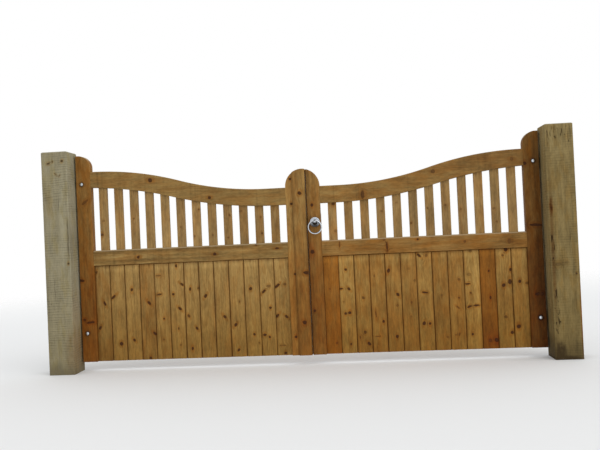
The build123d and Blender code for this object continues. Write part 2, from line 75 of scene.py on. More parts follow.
@dataclass(frozen=True)
class Layout:
    """The main sizes of the pair, as the frame has them."""

    centre_x: float = 1413.0
    hang_edge: float = 1328.5
    panel_reach: float = 1242.0
    meet_reach: float = 98.0
    ground_gap: float = 52.0
    leaf_h: float = 1208.0
    front: float = 30.0
    back: float = 75.0
    band_back: float = 81.0
    head_centre_h: float = 966.0
    mid_rail_bottom: float = 561.0
    mid_rail_depth: float = 88.0
    bottom_rail_centre: float = 167.0
    bottom_rail_depth: float = 90.0
    upper_band_h: float = 1040.0
    lower_band_h: float = 167.0
    bolt_reach: float = 1295.5
    ring_reach: float = 64.0
    ring_h: float = 756.0

    def x(self, side: int, reach: float) -> float:
        """X of a reach on one side of the opening's middle."""
        return self.centre_x + side * reach

    def z(self, height: float) -> float:
        """Z of a height over the leaf's bottom."""
        return self.ground_gap + height

    @property
    def depth(self) -> Pair:
        """Y of the front and the back of stiles and rails."""
        return self.front, self.back

    def stretch(self, side: int, near: float, far: float) -> Pair:
        """Lowest and highest X between two reaches."""
        low, high = sorted((self.x(side, near), self.x(side, far)))
        return low, high

    def span(self, side: int) -> Pair:
        """Lowest and highest X of a leaf's panel, between its stiles."""
        return self.stretch(side, self.meet_reach, self.panel_reach)


PLAN = Layout()


class Side(Enum):
    """Which leaf a piece belongs to, and which way its reach runs along X."""

    LEFT = -1
    RIGHT = 1

    @property
    def body(self) -> str:
        """Name of the leaf's body in the frame."""
        return f"{self.name.lower()}_leaf"

    def node(self, piece: str) -> str:
        """Frame node of one of the leaf's pieces."""
        return f"{self.name.lower()}_{piece}"


@dataclass
class Patch:
    """Points in metres, faces as index arrays, and values carried by the points."""

    points: Array
    faces: list[Array]
    marks: dict[str, Array] = field(default_factory=dict)

    def outward(self) -> "Patch":
        """The same closed shell with its faces turned outwards.

        The signed volume is a sixth of the sum over the triangles of a . (b x c); where it
        comes out negative, every face is wound the other way.

        Returns:
            The patch itself.
        """
        volume = 0.0
        for face in self.faces:
            a = self.points[face[:, 0]]
            for k in range(1, face.shape[1] - 1):
                b, c = self.points[face[:, k]], self.points[face[:, k + 1]]
                volume += float(np.einsum("ij,ij->", a, np.cross(b, c)))
        if volume < 0:
            self.faces = [face[:, ::-1] for face in self.faces]
        return self


def linked(name: str, data: bpy.types.ID) -> Piece:
    """A new object with the given data, linked to the scene.

    Args:
        name: name of the object.
        data: mesh, camera or light that it holds.

    Returns:
        The object.
    """
    made = bpy.data.objects.new(name, data)
    bpy.context.scene.collection.objects.link(made)
    return made


def make_piece(name: str, patches: Sequence[Patch], crease: float = 32.0) -> Piece:
    """Join closed patches into one smooth-shaded object at the origin.

    Besides the patches' own marks, each point carries how far its normal points up.

    Args:
        name: name of the new object.
        patches: closed shells that all carry the same marks.
        crease: angle in degrees past which an edge stays sharp.

    Returns:
        The new object, linked to the scene.
    """
    shells = [patch.outward() for patch in patches]
    starts = np.cumsum([0] + [len(shell.points) for shell in shells[:-1]])
    faces = [face + start for shell, start in zip(shells, starts) for face in shell.faces]
    counts = np.concatenate([np.full(len(face), face.shape[1]) for face in faces])
    corners = np.concatenate([face.ravel() for face in faces])
    points = np.concatenate([shell.points for shell in shells])
    mesh = bpy.data.meshes.new(name)
    mesh.vertices.add(len(points))
    mesh.vertices.foreach_set("co", points.astype(np.float32).ravel())
    mesh.loops.add(len(corners))
    mesh.loops.foreach_set("vertex_index", corners.astype(np.int32))
    mesh.polygons.add(len(counts))
    mesh.polygons.foreach_set("loop_start", (np.cumsum(counts) - counts).astype(np.int32))
    mesh.update(calc_edges=True)
    mesh.validate()
    normals = np.empty(len(points) * 3, np.float32)
    mesh.vertex_normals.foreach_get("vector", normals)
    marks = {key: np.concatenate([shell.marks[key] for shell in shells]) for key in shells[0].marks}
    # how far each normal points up; the timber finishes paint a sheen from it on faces that point up
    marks["up"] = normals.reshape(-1, 3)[:, 2]
    for key, values in marks.items():
        kind, slot = ("FLOAT", "value") if values.ndim == 1 else ("FLOAT_VECTOR", "vector")
        layer = mesh.attributes.new(key, kind, "POINT")
        layer.data.foreach_set(slot, values.astype(np.float32).ravel())
    mesh.shade_smooth()
    mesh.set_sharp_from_angle(angle=math.radians(crease))
    return linked(name, mesh)


def block_grid(shape: tuple[int, int, int]) -> tuple[Array, Array]:
    """Surface of a block as six grids that share their border points.

    A lattice of shape points is numbered wherever it touches a side of the block, and the
    squares of each side join four neighbours, all wound the same way round the block.

    Args:
        shape: number of lattice lines in the three directions.

    Returns:
        The lattice place of each point, as three whole numbers, and the four-sided faces.
    """
    u, v, w = np.indices(shape)
    ends = [n - 1 for n in shape]
    skin = (u % ends[0] == 0) | (v % ends[1] == 0) | (w % ends[2] == 0)
    number = np.full(shape, -1)
    number[skin] = np.arange(int(skin.sum()))
    places = np.stack([u[skin], v[skin], w[skin]], axis=1)
    sides = []
    for axis in range(3):
        for end in (0, -1):
            side = np.take(number, end, axis=axis)
            quad = np.stack([side[:-1, :-1], side[1:, :-1], side[1:, 1:], side[:-1, 1:]], axis=-1)
            quad = quad.reshape(-1, 4)
            sides.append(quad[:, ::-1] if (end == 0) != (axis == 1) else quad)
    return places, np.concatenate(sides)


def eased_lines(low: float, high: float, step: float, ease: float) -> Array:
    """Lattice lines from low to high about step apart, with extra lines in the eased edges.

    Args:
        low: lowest place.
        high: highest place.
        step: distance between lines, about.
        ease: depth of the eased edge at each end.

    Returns:
        The lines' places, rising.
    """
    count = max(1, round((high - low - 2 * ease) / step))
    inner = np.linspace(low + ease, high - ease, count + 1)
    return np.concatenate([[low, low + ease / 2], inner, [high - ease / 2, high]])


def revolve(
    profile: Sequence[Sequence[float]],
    centre: Pair,
    segments: int = 32,
    flats: int = 0,
    below: float = 0.0,
) -> Patch:
    """Closed shell of a profile turned about an axis along Y.

    A point is (cx + r f(t) cos t, y, cz + r f(t) sin t) for each row (r, y, shade) and each
    angle t. With n flats, f(t) = cos(pi / n) / cos(t mod 2 pi / n - pi / n), and else 1.

    Args:
        profile: rows of radius, Y and grime with painted shade, from pole to pole; radii of nought at the
            ends.
        centre: X and Z of the axis, in mm.
        segments: number of angles.
        flats: number of flats round the axis, as on a nut.
        below: painted shade added under the axis, times -sin t.

    Returns:
        The shell, in metres, with its grime and painted shade at the points.
    """
    rows = np.array(profile, float)
    angle = np.arange(segments) * 2 * math.pi / segments
    factor = np.ones(segments)
    if flats:
        factor = math.cos(math.pi / flats) / np.cos(angle % (2 * math.pi / flats) - math.pi / flats)
    body = rows[1:-1]
    radius = body[:, :1] * factor
    level = np.broadcast_to(body[:, 1:2], radius.shape)
    x, z = centre[0] + radius * np.cos(angle), centre[1] + radius * np.sin(angle)
    ring = np.stack([x, level, z], axis=-1)
    poles = np.array([(centre[0], rows[k, 1], centre[1]) for k in (0, -1)])
    index = np.arange(len(body) * segments).reshape(len(body), segments)
    turned = np.roll(index, -1, axis=1)
    quads = np.stack([index[:-1], turned[:-1], turned[1:], index[1:]], axis=-1).reshape(-1, 4)
    first = np.full(segments, len(body) * segments)
    start = np.stack([first, turned[0], index[0]], axis=1)
    stop = np.stack([first + 1, index[-1], turned[-1]], axis=1)
    # Painted shade: the lower half of the turn is darkened.
    under = below * np.clip(-np.sin(angle), 0.0, 1.0)
    soot = np.concatenate([(body[:, 2:] + under).clip(0.0, 1.0).ravel(), rows[[0, -1], 2]])
    points = np.concatenate([ring.reshape(-1, 3), poles]) * MM
    return Patch(points, [quads, np.concatenate([start, stop])], {"soot": soot})


def torus(centre: Triple, radius: float, bar: float, segments: int = 72, sides: int = 16) -> Patch:
    """Ring of round bar that hangs facing the road, a little thinner at its top.

    A point is centre + (R + b(t) cos v) (cos t, 0, sin t) + (0, b(t) sin v, 0), where the
    bar's radius b(t) is bar (1 - 0.08 (1 + sin t)), and painted shade lies on the inner side.

    Args:
        centre: middle of the ring, in mm.
        radius: R, from the ring's middle to the bar's.
        bar: the bar's radius at the foot of the ring.
        segments: number of angles t round the ring.
        sides: number of angles v round the bar.

    Returns:
        The shell, in metres, with its grime at the points.
    """
    turns = (np.arange(count) * 2 * math.pi / count for count in (segments, sides))
    t, v = np.meshgrid(*turns, indexing="ij")
    thick = bar * (1 - 0.08 * (1 + np.sin(t)))
    out = radius + thick * np.cos(v)
    points = np.stack([out * np.cos(t), thick * np.sin(v), out * np.sin(t)], axis=-1).reshape(-1, 3)
    index = np.arange(segments * sides).reshape(segments, sides)
    turned, lower = np.roll(index, -1, axis=0), np.roll(index, -1, axis=1)
    quads = np.stack([index, turned, np.roll(turned, -1, axis=1), lower], axis=-1).reshape(-1, 4)
    # Painted shade on the inner side of the bar.
    soot = np.clip(0.05 - 1.5 * np.cos(v), 0.0, 1.0).ravel()
    return Patch((points + np.array(centre)) * MM, [quads], {"soot": soot})


@dataclass(frozen=True)
class Lay:
    """How a plank lies: unit directions across, along and through it, and its origin."""

    across: Triple
    along: Triple
    through: Triple = (0.0, 1.0, 0.0)
    origin: Triple = (0.0, 0.0, 0.0)

    def place(self, a: Array, l: Array, t: Array) -> Array:
        """Row-frame points in millimetres: origin + a across + l along + t through."""
        axes = np.array([self.across, self.along, self.through])
        return np.stack([a, l, t], axis=1) @ axes + np.array(self.origin)


UPRIGHT = Lay((1.0, 0.0, 0.0), (0.0, 0.0, 1.0))
LEVEL = Lay((0.0, 0.0, 1.0), (1.0, 0.0, 0.0))


@dataclass(frozen=True)
class Knot:
    """A knot on a plank's faces, in the plank's own across and along, in millimetres."""

    across: float
    along: float
    radius: float = 6.0
    wide: float = 1.0
    turn: float = 0.0
    dark: float = 1.0

    def measure(self, a: Array, l: Array) -> tuple[Array, Array]:
        """Distances from the knot's middle in knot radii, turned and narrowed with it.

        Args:
            a: places across the plank.
            l: places along it.

        Returns:
            The distances across and along the knot's own length.
        """
        c, s = math.cos(math.radians(self.turn)), math.sin(math.radians(self.turn))
        da, dl = a - self.across, l - self.along
        return (c * da + s * dl) / (self.radius * self.wide), (c * dl - s * da) / self.radius


@dataclass(frozen=True)
class Stain:
    """A soft-edged patch of staining or of painted light or shade: half its width across, half its length
    along, and its tones.
    """

    across: float
    along: float
    wide: float
    tall: float
    dark: float = 0.0
    orange: float = 0.0
    pale: float = 0.0

    def spread(self, a: Array, l: Array) -> Array:
        """Dark, orange and pale amounts: each times exp(-r^4), r counted in half sizes."""
        r = np.hypot((a - self.across) / self.wide, (l - self.along) / self.tall)
        return np.exp(-(r**4))[:, None] * np.array([self.dark, self.orange, self.pale])


def moved(mark: Knot | Stain, across: float, along: float) -> Knot | Stain:
    """The same mark, its place counted from another point."""
    return replace(mark, across=mark.across + across, along=mark.along + along)


@dataclass(frozen=True)
class Crack:
    """A crack that runs along a plank, with its ends' places and its half width."""

    across: float
    low: float
    high: float
    wide: float = 1.0
    lean: float = 0.0
    sway: float = 1.5

    def measure(self, a: Array, l: Array) -> tuple[Array, Array]:
        """Signed distance from the crack, and its half width there.

        The line lies at across + lean (l - middle) + sway sin(l / 19 + across), and the
        width closes as sqrt(sin) towards both ends and fades out a centimetre to the side.

        Args:
            a: places across the plank.
            l: places along it.

        Returns:
            The distance and the half width.
        """
        middle = (self.low + self.high) / 2
        line = self.across + self.lean * (l - middle) + self.sway * np.sin(l / 19.0 + self.across)
        share = np.clip((l - self.low) / (self.high - self.low), 0.0, 1.0)
        away = a - line
        open_here = np.sqrt(np.sin(math.pi * share)) * np.clip(2.2 - np.abs(away) / 8.0, 0.0, 1.0)
        return away, self.wide * open_here


@dataclass(frozen=True)
class Heart:
    """Where the tree's heart ran beside a plank, counted from the plank's middle, in mm."""

    across: float
    through: float
    lean: float
    dip: float
    spacing: float
    phase: float

    @classmethod
    def drawn(cls, rng: np.random.Generator) -> "Heart":
        """A heart for a flat-sawn plank, drawn from a seeded generator.

        Args:
            rng: the seeded generator.

        Returns:
            The heart.
        """
        return cls(
            across=float(rng.uniform(-26, 26)),
            through=float(rng.choice([-1.0, 1.0]) * rng.uniform(14, 60)),
            lean=float(rng.uniform(-22, 22)),
            dip=float(rng.uniform(-38, 38)),
            spacing=float(rng.uniform(4.0, 7.0)),
            phase=float(rng.uniform(0, 40)),
        )

    def rings(self, a: Array, l: Array, t: Array) -> Array:
        """Number of growth rings between the heart and each point.

        The heart leans and dips along the plank and wanders a little, and the distance from
        it, with a slow swell of a millimetre or two, is divided by the ring spacing.

        Args:
            a: places across the plank.
            l: places along it.
            t: places through it.

        Returns:
            The counts, whole at the start of each ring.
        """
        metre = l * MM
        wander = 5.0 * np.sin(metre * 4.1 + self.phase) + 2.5 * np.sin(metre * 9.7 + 2 * self.phase)
        across = a - self.across - self.lean * metre - wander
        through = t - self.through - self.dip * metre - 0.6 * wander
        swell = 1.6 * np.sin(a * 0.09 + metre * 6.0 + self.phase)
        swell = swell + 1.1 * np.sin(metre * 17.0 - a * 0.05 + 3 * self.phase)
        return (np.hypot(across, through) + swell) / self.spacing + self.phase


@dataclass
class Plank:
    """One sawn piece: a block with eased arrises and its grain running along it.

    Sizes are in millimetres in the plank's lay, so an upright plank's across is X, its along
    is Z and its through is Y. A seam function gives the distance from an open joint.
    """

    across: Pair
    along: Pair
    through: Pair
    lay: Lay = UPRIGHT
    ease: float = 2.0
    end_ease: float = 0.8
    steps: Triple = (5.5, 7.0, 14.0)
    lines: dict[int, Array] = field(default_factory=dict)
    knots: tuple[Knot, ...] = ()
    stains: tuple[Stain, ...] = ()
    cracks: tuple[Crack, ...] = ()
    tint: Triple = (0.0, 0.0, 0.0)
    seed: int = 0
    form: Form | None = None
    seam: Callable[[Array, Array], Array] | None = None

    def surface(self) -> Patch:
        """The plank's closed surface with its timber marks.

        Returns:
            Six grids that share their borders. The long arrises are rounded by moving each
            point to the sphere of the ease radius round the nearest point of the inner box,
            flattened along the plank; the form function then bends the block to its shape.
        """
        box = (self.across, self.along, self.through)
        eases = (self.ease, self.end_ease, self.ease)
        grid = [
            self.lines[k] if k in self.lines else eased_lines(*box[k], self.steps[k], eases[k])
            for k in range(3)
        ]
        places, quads = block_grid((len(grid[0]), len(grid[1]), len(grid[2])))
        flat = np.stack([grid[k][places[:, k]] for k in range(3)], axis=1)
        low = np.array([side[0] for side in box])
        high = np.array([side[1] for side in box])
        radius = np.array(eases)
        near_arris = np.sort(np.minimum(flat - low, high - flat)[:, [0, 2]], axis=1)[:, 1]
        core = np.clip(flat, low + radius, high - radius)
        pull = (flat - core) / radius
        pull /= np.maximum(np.linalg.norm(pull, axis=1, keepdims=True), 1e-9)
        a, l, t = (core + pull * radius).T
        if self.form is not None:
            a, l, t = self.form(a, l, t)
        return Patch(self.lay.place(a, l, t) * MM, [quads], self.marks(a, l, t, near_arris))

    def marks(self, a: Array, l: Array, t: Array, near_arris: Array) -> dict[str, Array]:
        """Values that the timber materials read at each point.

        Args:
            a: places across the plank.
            l: places along it.
            t: places through it.
            near_arris: distance from the nearest long arris.

        Returns:
            grain: across, through and along in metres, shifted for each plank; ring: growth
                rings counted from the heart, bent round the knots; knot: place inside the nearest
                knot in its radii, and how much of it shows; edge: one at an arris and nought a
                few millimetres from it; seam: distance from an open joint; crack: distance from
                the nearest crack and its half width; stain: dark, orange and pale amounts, of staining
                and of painted light and shade; tint: the plank's own tone.
            tint: the plank's own tone.
        """
        rng = np.random.default_rng(self.seed)
        heart = Heart.drawn(rng)
        mid_a, mid_t = sum(self.across) / 2, sum(self.through) / 2
        bent = a.copy()
        first, second = np.full(a.shape, FAR), np.full(a.shape, FAR)
        knot = np.tile([NO_KNOT, NO_KNOT, 0.0], (len(a), 1))
        for each in self.knots:
            p, q = each.measure(a, l)
            away = np.hypot(p, q)
            bent -= (a - each.across) * 0.9 * np.exp(-((p / 2.0) ** 2) - (q / 3.6) ** 2)
            closer = away < first
            second = np.where(closer, first, np.minimum(second, away))
            first = np.where(closer, away, first)
            shown = each.dark * np.clip(4.0 - away, 0.0, 1.0)
            knot[closer] = np.stack([p, q, shown], axis=1)[closer]
        knot[:, 2] *= np.clip((second - first) * 0.8, 0.0, 1.0)
        crack = np.tile([FAR, 0.0, 0.0], (len(a), 1))
        for line in self.cracks:
            away, wide = line.measure(a, l)
            closer = np.abs(away) < np.abs(crack[:, 0])
            crack[closer] = np.stack([away, wide, 0 * away], axis=1)[closer]
        grain = np.stack([bent - mid_a, t - mid_t, l], axis=1) * MM + rng.uniform(0, 9, 3)
        return {
            "grain": grain,
            "ring": heart.rings(bent - mid_a, l, t - mid_t),
            "knot": knot,
            "edge": np.exp(-near_arris / 3.0),
            "seam": np.full(a.shape, FAR) if self.seam is None else self.seam(a, l),
            "crack": crack,
            "stain": sum((stain.spread(a, l) for stain in self.stains), np.zeros((len(a), 3))),
            "tint": np.tile(self.tint, (len(a), 1)),
        }


def stray_knots(seed: int, across: Pair, along: Pair, count: int, dark: float = 0.8) -> tuple[Knot, ...]:
    """Knots scattered over a stretch that the photograph doesn't show closely.

    Args:
        seed: number that fixes the draw.
        across: lowest and highest place across the plank.
        along: lowest and highest place along it.
        count: how many knots.
        dark: how strongly they show at most.

    Returns:
        The knots, at least a fair share of the length apart.
    """
    rng = np.random.default_rng(seed)
    cells = (np.arange(count) + rng.uniform(0.15, 0.85, count)) / max(count, 1)
    rows = zip(
        rng.uniform(across[0] + 8, across[1] - 8, count),
        along[0] + cells * (along[1] - along[0]),
        rng.uniform(3.5, 7.0, count),
        rng.uniform(0.8, 1.5, count),
        rng.uniform(-35, 35, count),
        rng.uniform(0.4, 1.0, count) * dark,
    )
    return tuple(Knot(*(float(value) for value in row)) for row in rows)


class Graph:
    """Shorthand for the nodes and links of one material or group."""

    def __init__(self, tree: bpy.types.NodeTree) -> None:
        """Start on an emptied node tree."""
        self.tree = tree
        tree.nodes.clear()

    def feed(self, sockets: object, inputs: dict) -> None:
        """Set each named or numbered socket to a value or link it to another's output.

        Args:
            sockets: a node's inputs.
            inputs: socket name or number to a value or an output.
        """
        for key, value in inputs.items():
            if isinstance(value, bpy.types.NodeSocket):
                self.tree.links.new(value, sockets[key])
            else:
                sockets[key].default_value = value

    def node(self, kind: str, inputs: dict | None = None, **settings: object) -> bpy.types.Node:
        """Add a node.

        Args:
            kind: the node's type name.
            inputs: socket name or number to a value or to another node's output.
            settings: plain properties of the node.

        Returns:
            The new node.
        """
        made = self.tree.nodes.new(kind)
        for key, value in settings.items():
            setattr(made, key, value)
        self.feed(made.inputs, inputs or {})
        return made

    def math(self, kind: str, a: object, b: object = 0.0, c: object = 0.0, clamp: bool = False) -> Socket:
        """Result of a Math node."""
        made = self.node("ShaderNodeMath", {0: a, 1: b, 2: c}, operation=kind, use_clamp=clamp)
        return made.outputs[0]

    def times(self, a: object, b: object) -> Socket:
        """Product of two numbers."""
        return self.math("MULTIPLY", a, b)

    def plus(self, a: object, factor: object, base: object) -> Socket:
        """The sum base + a factor."""
        return self.math("MULTIPLY_ADD", a, factor, base)

    def vector(self, kind: str, a: object, b: object = (0.0, 0.0, 0.0)) -> Socket:
        """Result of a Vector Math node, its number where the operation gives one."""
        made = self.node("ShaderNodeVectorMath", {0: a, 1: b}, operation=kind)
        return made.outputs["Value" if kind in ("LENGTH", "DISTANCE") else "Vector"]

    def step(
        self, value: object, low: object, high: object, start: float = 0.0, stop: float = 1.0
    ) -> Socket:
        """Smooth change from start to stop as value goes from low to high."""
        inputs = {"Value": value, "From Min": low, "From Max": high, "To Min": start, "To Max": stop}
        return self.node("ShaderNodeMapRange", inputs, interpolation_type="SMOOTHSTEP").outputs[0]

    def mix(self, factor: object, colour: object, other: Colour, blend: str = "MIX") -> Socket:
        """A colour blended with another as far as the factor says.

        Args:
            factor: how far, from nought to one.
            colour: the first colour.
            other: the second colour.
            blend: the Mix node's way of blending.

        Returns:
            The blended colour.
        """
        made = self.node("ShaderNodeMix", data_type="RGBA", blend_type=blend, clamp_factor=True)
        self.feed(made.inputs, {0: factor, 6: colour, 7: rgba(other)})
        return made.outputs[2]

    def stained(self, factor: object, colour: object, by: Colour) -> Socket:
        """A colour multiplied by another as far as the factor says."""
        return self.mix(factor, colour, by, "MULTIPLY")

    def noise(
        self, vector: object, scale: Colour | float, detail: float = 2.0, rough: float = 0.5
    ) -> Socket:
        """Value of a noise texture, about a half on average, on a vector scaled by direction.

        Args:
            vector: where the noise is read.
            scale: its scale, or one scale for each direction.
            detail: how many finer layers are added.
            rough: how strong they are.

        Returns:
            The noise.
        """
        if isinstance(scale, tuple):
            vector, scale = self.vector("MULTIPLY", vector, scale), 1.0
        inputs = {"Vector": vector, "Scale": scale, "Detail": detail, "Roughness": rough}
        return self.node("ShaderNodeTexNoise", inputs).outputs["Fac"]

    def swing(self, vector: object, scale: Colour | float, detail: float = 2.0) -> Socket:
        """Noise pushed apart to run from minus one to one."""
        return self.step(self.noise(vector, scale, detail), 0.3, 0.7, -1.0, 1.0)

    def scaled(self, colour: object, factor: object) -> Socket:
        """A colour made brighter or darker by a factor."""
        made = self.node("ShaderNodeVectorMath", {0: colour, "Scale": factor}, operation="SCALE")
        return made.outputs["Vector"]

    def part(self, vector: object) -> tuple[Socket, Socket, Socket]:
        """The three numbers of a vector."""
        made = self.node("ShaderNodeSeparateXYZ", {0: vector})
        return made.outputs[0], made.outputs[1], made.outputs[2]

    def join(self, *numbers: object) -> Socket:
        """A vector of up to three numbers."""
        return self.node("ShaderNodeCombineXYZ", dict(enumerate(numbers))).outputs[0]

    def mark(self, name: str, vector: bool = False) -> Socket:
        """A value that the mesh carries at its points."""
        made = self.node("ShaderNodeAttribute", attribute_name=name, attribute_type="GEOMETRY")
        return made.outputs["Vector" if vector else "Fac"]

    def group(self, effect: "Effect", inputs: dict) -> dict[str, Socket]:
        """Place a shared group and give its outputs by name.

        Args:
            effect: the shared group.
            inputs: input name to a value or an output.

        Returns:
            The group's outputs by name.
        """
        made = self.tree.nodes.new("ShaderNodeGroup")
        made.node_tree = effect.tree()
        self.feed(made.inputs, inputs)
        return {key: made.outputs[key] for key in effect.outputs}

    def bump(self, height: object, depth: float) -> Socket:
        """Normal of a surface with a height of the given depth in mm."""
        return self.node("ShaderNodeBump", {"Height": height, "Distance": depth * MM}).outputs["Normal"]

    def close(self, shader: bpy.types.Node, kind: str = "Material") -> None:
        """Link a shader to the tree's output."""
        output = self.node(f"ShaderNodeOutput{kind}")
        self.tree.links.new(shader.outputs[0], output.inputs["Surface"])


def rgba(colour: Colour) -> tuple[float, float, float, float]:
    """A colour with full cover."""
    return (*colour, 1.0)


class Kind(Enum):
    """Types of a group's sockets."""

    NUMBER = "NodeSocketFloat"
    VECTOR = "NodeSocketVector"


@dataclass(frozen=True)
class Effect:
    """A shared shader group: its vector and number inputs, its outputs and what fills it."""

    name: str
    vectors: tuple[str, ...]
    numbers: dict[str, float]
    outputs: tuple[str, ...]
    fill: Callable[[Graph, dict[str, Socket]], dict[str, Socket]]

    def tree(self) -> bpy.types.NodeTree:
        """The group's node tree, made the first time it is asked for.

        Returns:
            The tree, with its sockets and nodes.
        """
        found = bpy.data.node_groups.get(self.name)
        if found is not None:
            return found
        made = bpy.data.node_groups.new(self.name, "ShaderNodeTree")
        graph, face = Graph(made), made.interface
        for key in self.vectors:
            face.new_socket(name=key, in_out="INPUT", socket_type=Kind.VECTOR.value)
        for key, default in self.numbers.items():
            socket = face.new_socket(name=key, in_out="INPUT", socket_type=Kind.NUMBER.value)
            socket.default_value = default
        for key in self.outputs:
            face.new_socket(name=key, in_out="OUTPUT", socket_type=Kind.NUMBER.value)
        source, target = graph.node("NodeGroupInput"), graph.node("NodeGroupOutput")
        results = self.fill(graph, {key: source.outputs[key] for key in (*self.vectors, *self.numbers)})
        graph.feed(target.inputs, results)
        return made


def fill_fibre(g: Graph, s: dict[str, Socket]) -> dict[str, Socket]:
    """Fibre lines and short dark pores, noise drawn out along the grain.

    Args:
        g: graph of the group.
        s: the group's inputs by name.

    Returns:
        The group's outputs by name.
    """
    fine = g.noise(s["Grain"], (850.0, 850.0, 9.0), 3.0, 0.6)
    dash = g.step(g.noise(s["Grain"], (1500.0, 1500.0, 55.0), 1.0), 0.66, 0.78)
    return {"Fine": fine, "Dash": dash, "Height": g.plus(dash, -0.9, fine)}


FIBRE = Effect("fibre_lines", ("Grain",), {}, ("Fine", "Dash", "Height"), fill_fibre)


def fill_mottle(g: Graph, s: dict[str, Socket]) -> dict[str, Socket]:
    """Lighter and darker zones of stain at three sizes, and a drift in hue.

    Args:
        g: graph of the group.
        s: the group's inputs by name.

    Returns:
        The group's outputs by name.
    """
    broad = g.times(g.swing(s["Grain"], (26.0, 26.0, 8.0)), 0.45)
    lane = g.plus(g.swing(s["Grain"], (105.0, 105.0, 7.0)), 0.4, broad)
    light = g.plus(g.swing(s["Grain"], (150.0, 150.0, 42.0), 3.0), 0.42, lane)
    aside = g.vector("ADD", s["Grain"], (3.7, 1.3, 8.1))
    return {"Light": light, "Hue": g.swing(aside, (30.0, 30.0, 10.0))}


MOTTLE = Effect("stain_mottle", ("Grain",), {}, ("Light", "Hue"), fill_mottle)


def fill_rings(g: Graph, s: dict[str, Socket]) -> dict[str, Socket]:
    """Growth rings: pale early wood that darkens slowly to late wood and ends sharply.

    Args:
        g: graph of the group.
        s: the group's inputs by name.

    Returns:
        The group's outputs by name.
    """
    count = g.plus(g.noise(s["Grain"], (160.0, 160.0, 5.0)), 0.55, s["Ring"])
    part = g.math("FRACT", count)
    late = g.times(g.step(part, 0.25, 0.88), g.step(part, 0.9, 1.0, 1.0, 0.0))
    lane = g.noise(g.join(g.math("FLOOR", count)), 1.7, 0.0)
    return {"Late": g.times(late, g.step(lane, 0.25, 0.75, 0.35, 1.0))}


RINGS = Effect("growth_rings", ("Grain",), {"Ring": 0.0}, ("Late",), fill_rings)


def fill_knots(g: Graph, s: dict[str, Socket]) -> dict[str, Socket]:
    """Knots: a dark heart with its own rings, a darker rim, and stain drawn out round it.

    Args:
        g: graph of the group.
        s: the group's inputs by name.

    Returns:
        The group's outputs by name.
    """
    p, q, near = g.part(s["Knot"])
    ragged = g.plus(g.noise(s["Grain"], (240.0, 240.0, 110.0)), 1.1, -0.55)
    away = g.math("ADD", g.vector("LENGTH", g.join(p, q)), ragged)
    heart = g.step(away, 0.9, 1.2, 1.0, 0.0)
    rim = g.times(g.step(away, 0.7, 1.05), g.step(away, 1.15, 1.5, 1.0, 0.0))
    tail = g.vector("LENGTH", g.join(p, g.times(q, 0.5)))
    halo = g.step(g.math("ADD", tail, ragged), 0.9, 2.7, 1.0, 0.0)
    inner = g.times(heart, g.plus(g.math("SINE", g.times(away, 21.0)), 0.1, 0.9))
    height = g.times(g.plus(rim, -1.4, heart), near)
    shown = {"Heart": inner, "Rim": rim, "Halo": halo}
    return {**{key: g.times(value, near) for key, value in shown.items()}, "Height": height}


KNOTS = Effect("knots", ("Knot", "Grain"), {}, ("Heart", "Rim", "Halo", "Height"), fill_knots)


def fill_flaws(g: Graph, s: dict[str, Socket]) -> dict[str, Socket]:
    """Wear on arrises with a painted highlight, joint lines and the painted shade beside them, placed
    cracks, and fine checks strewn by noise.

    Args:
        g: graph of the group.
        s: the group's inputs by name.

    Returns:
        The group's outputs by name.
    """
    broken = g.step(g.noise(s["Grain"], (90.0, 90.0, 14.0), 3.0, 0.6), 0.35, 0.62)
    ragged = g.plus(g.noise(s["Grain"], (120.0, 120.0, 60.0), 3.0), 3.0, -1.5)
    # Joint line: a dark gap, darkened further as painted shade in the vees and under the rail.
    joint = g.step(g.plus(ragged, 0.5, s["Seam"]), 1.6, 4.6, 1.0, 0.0)
    # Painted shade beside joints and under the rail, fading out 14 mm away.
    shade = g.step(s["Seam"], 3.0, 14.0, 1.0, 0.0)
    away, wide, _ = g.part(s["Crack"])
    beside = g.math("ABSOLUTE", g.plus(ragged, 0.6, away))
    line = g.times(g.step(g.math("SUBTRACT", beside, wide), -0.6, 0.6, 1.0, 0.0), g.step(wide, 0.1, 0.6))
    hair = g.math("ABSOLUTE", g.math("SUBTRACT", g.noise(s["Grain"], (75.0, 75.0, 3.2), 2.0, 0.45), 0.5))
    where = g.noise(s["Grain"], (14.0, 14.0, 4.5))
    shown = g.step(where, g.plus(s["Amount"], -0.3, 0.72), 0.78)
    strewn = g.times(g.step(hair, 0.0, 0.014, 1.0, 0.0), shown)
    return {
        # Wear on the arrises, also used as a painted highlight along them.
        "Worn": g.times(s["Edge"], broken),
        "Joint": joint,
        "Shade": shade,
        "Gap": g.math("MAXIMUM", line, strewn),
    }


FLAWS = Effect(
    "edges_and_cracks",
    ("Grain", "Crack"),
    {"Edge": 0.0, "Seam": FAR, "Amount": 0.3},
    ("Worn", "Joint", "Shade", "Gap"),
    fill_flaws,
)


def fill_weather(g: Graph, s: dict[str, Socket]) -> dict[str, Socket]:
    """Damp foot, a ragged mask that fades with height, rain streaks, and a painted shade over the lower
    part.

    Args:
        g: graph of the group.
        s: the group's inputs by name.

    Returns:
        The group's outputs by name.
    """
    _, _, z = g.part(s["Place"])
    ragged = g.noise(s["Place"], (16.0, 16.0, 5.0), 3.0, 0.6)
    level = g.plus(g.math("SUBTRACT", ragged, 0.5), 0.16, z)
    damp = g.step(g.math("DIVIDE", level, s["Reach"]), 0.15, 1.0, 1.0, 0.0)
    runs = g.step(g.noise(s["Place"], (55.0, 55.0, 1.1)), 0.5, 0.78)
    # The lower-part mask is painted shade: it darkens pieces towards the bottom, where less light falls.
    return {"Damp": damp, "Runs": runs, "Low": g.step(z, s["Foot"], s["Fade"], 1.0, 0.0)}


WEATHER_SHADE_NUMBERS = {"Reach": 0.2, "Foot": 0.05, "Fade": 0.62}
WEATHER_SHADE = Effect("weather", ("Place",), WEATHER_SHADE_NUMBERS, ("Damp", "Runs", "Low"), fill_weather)


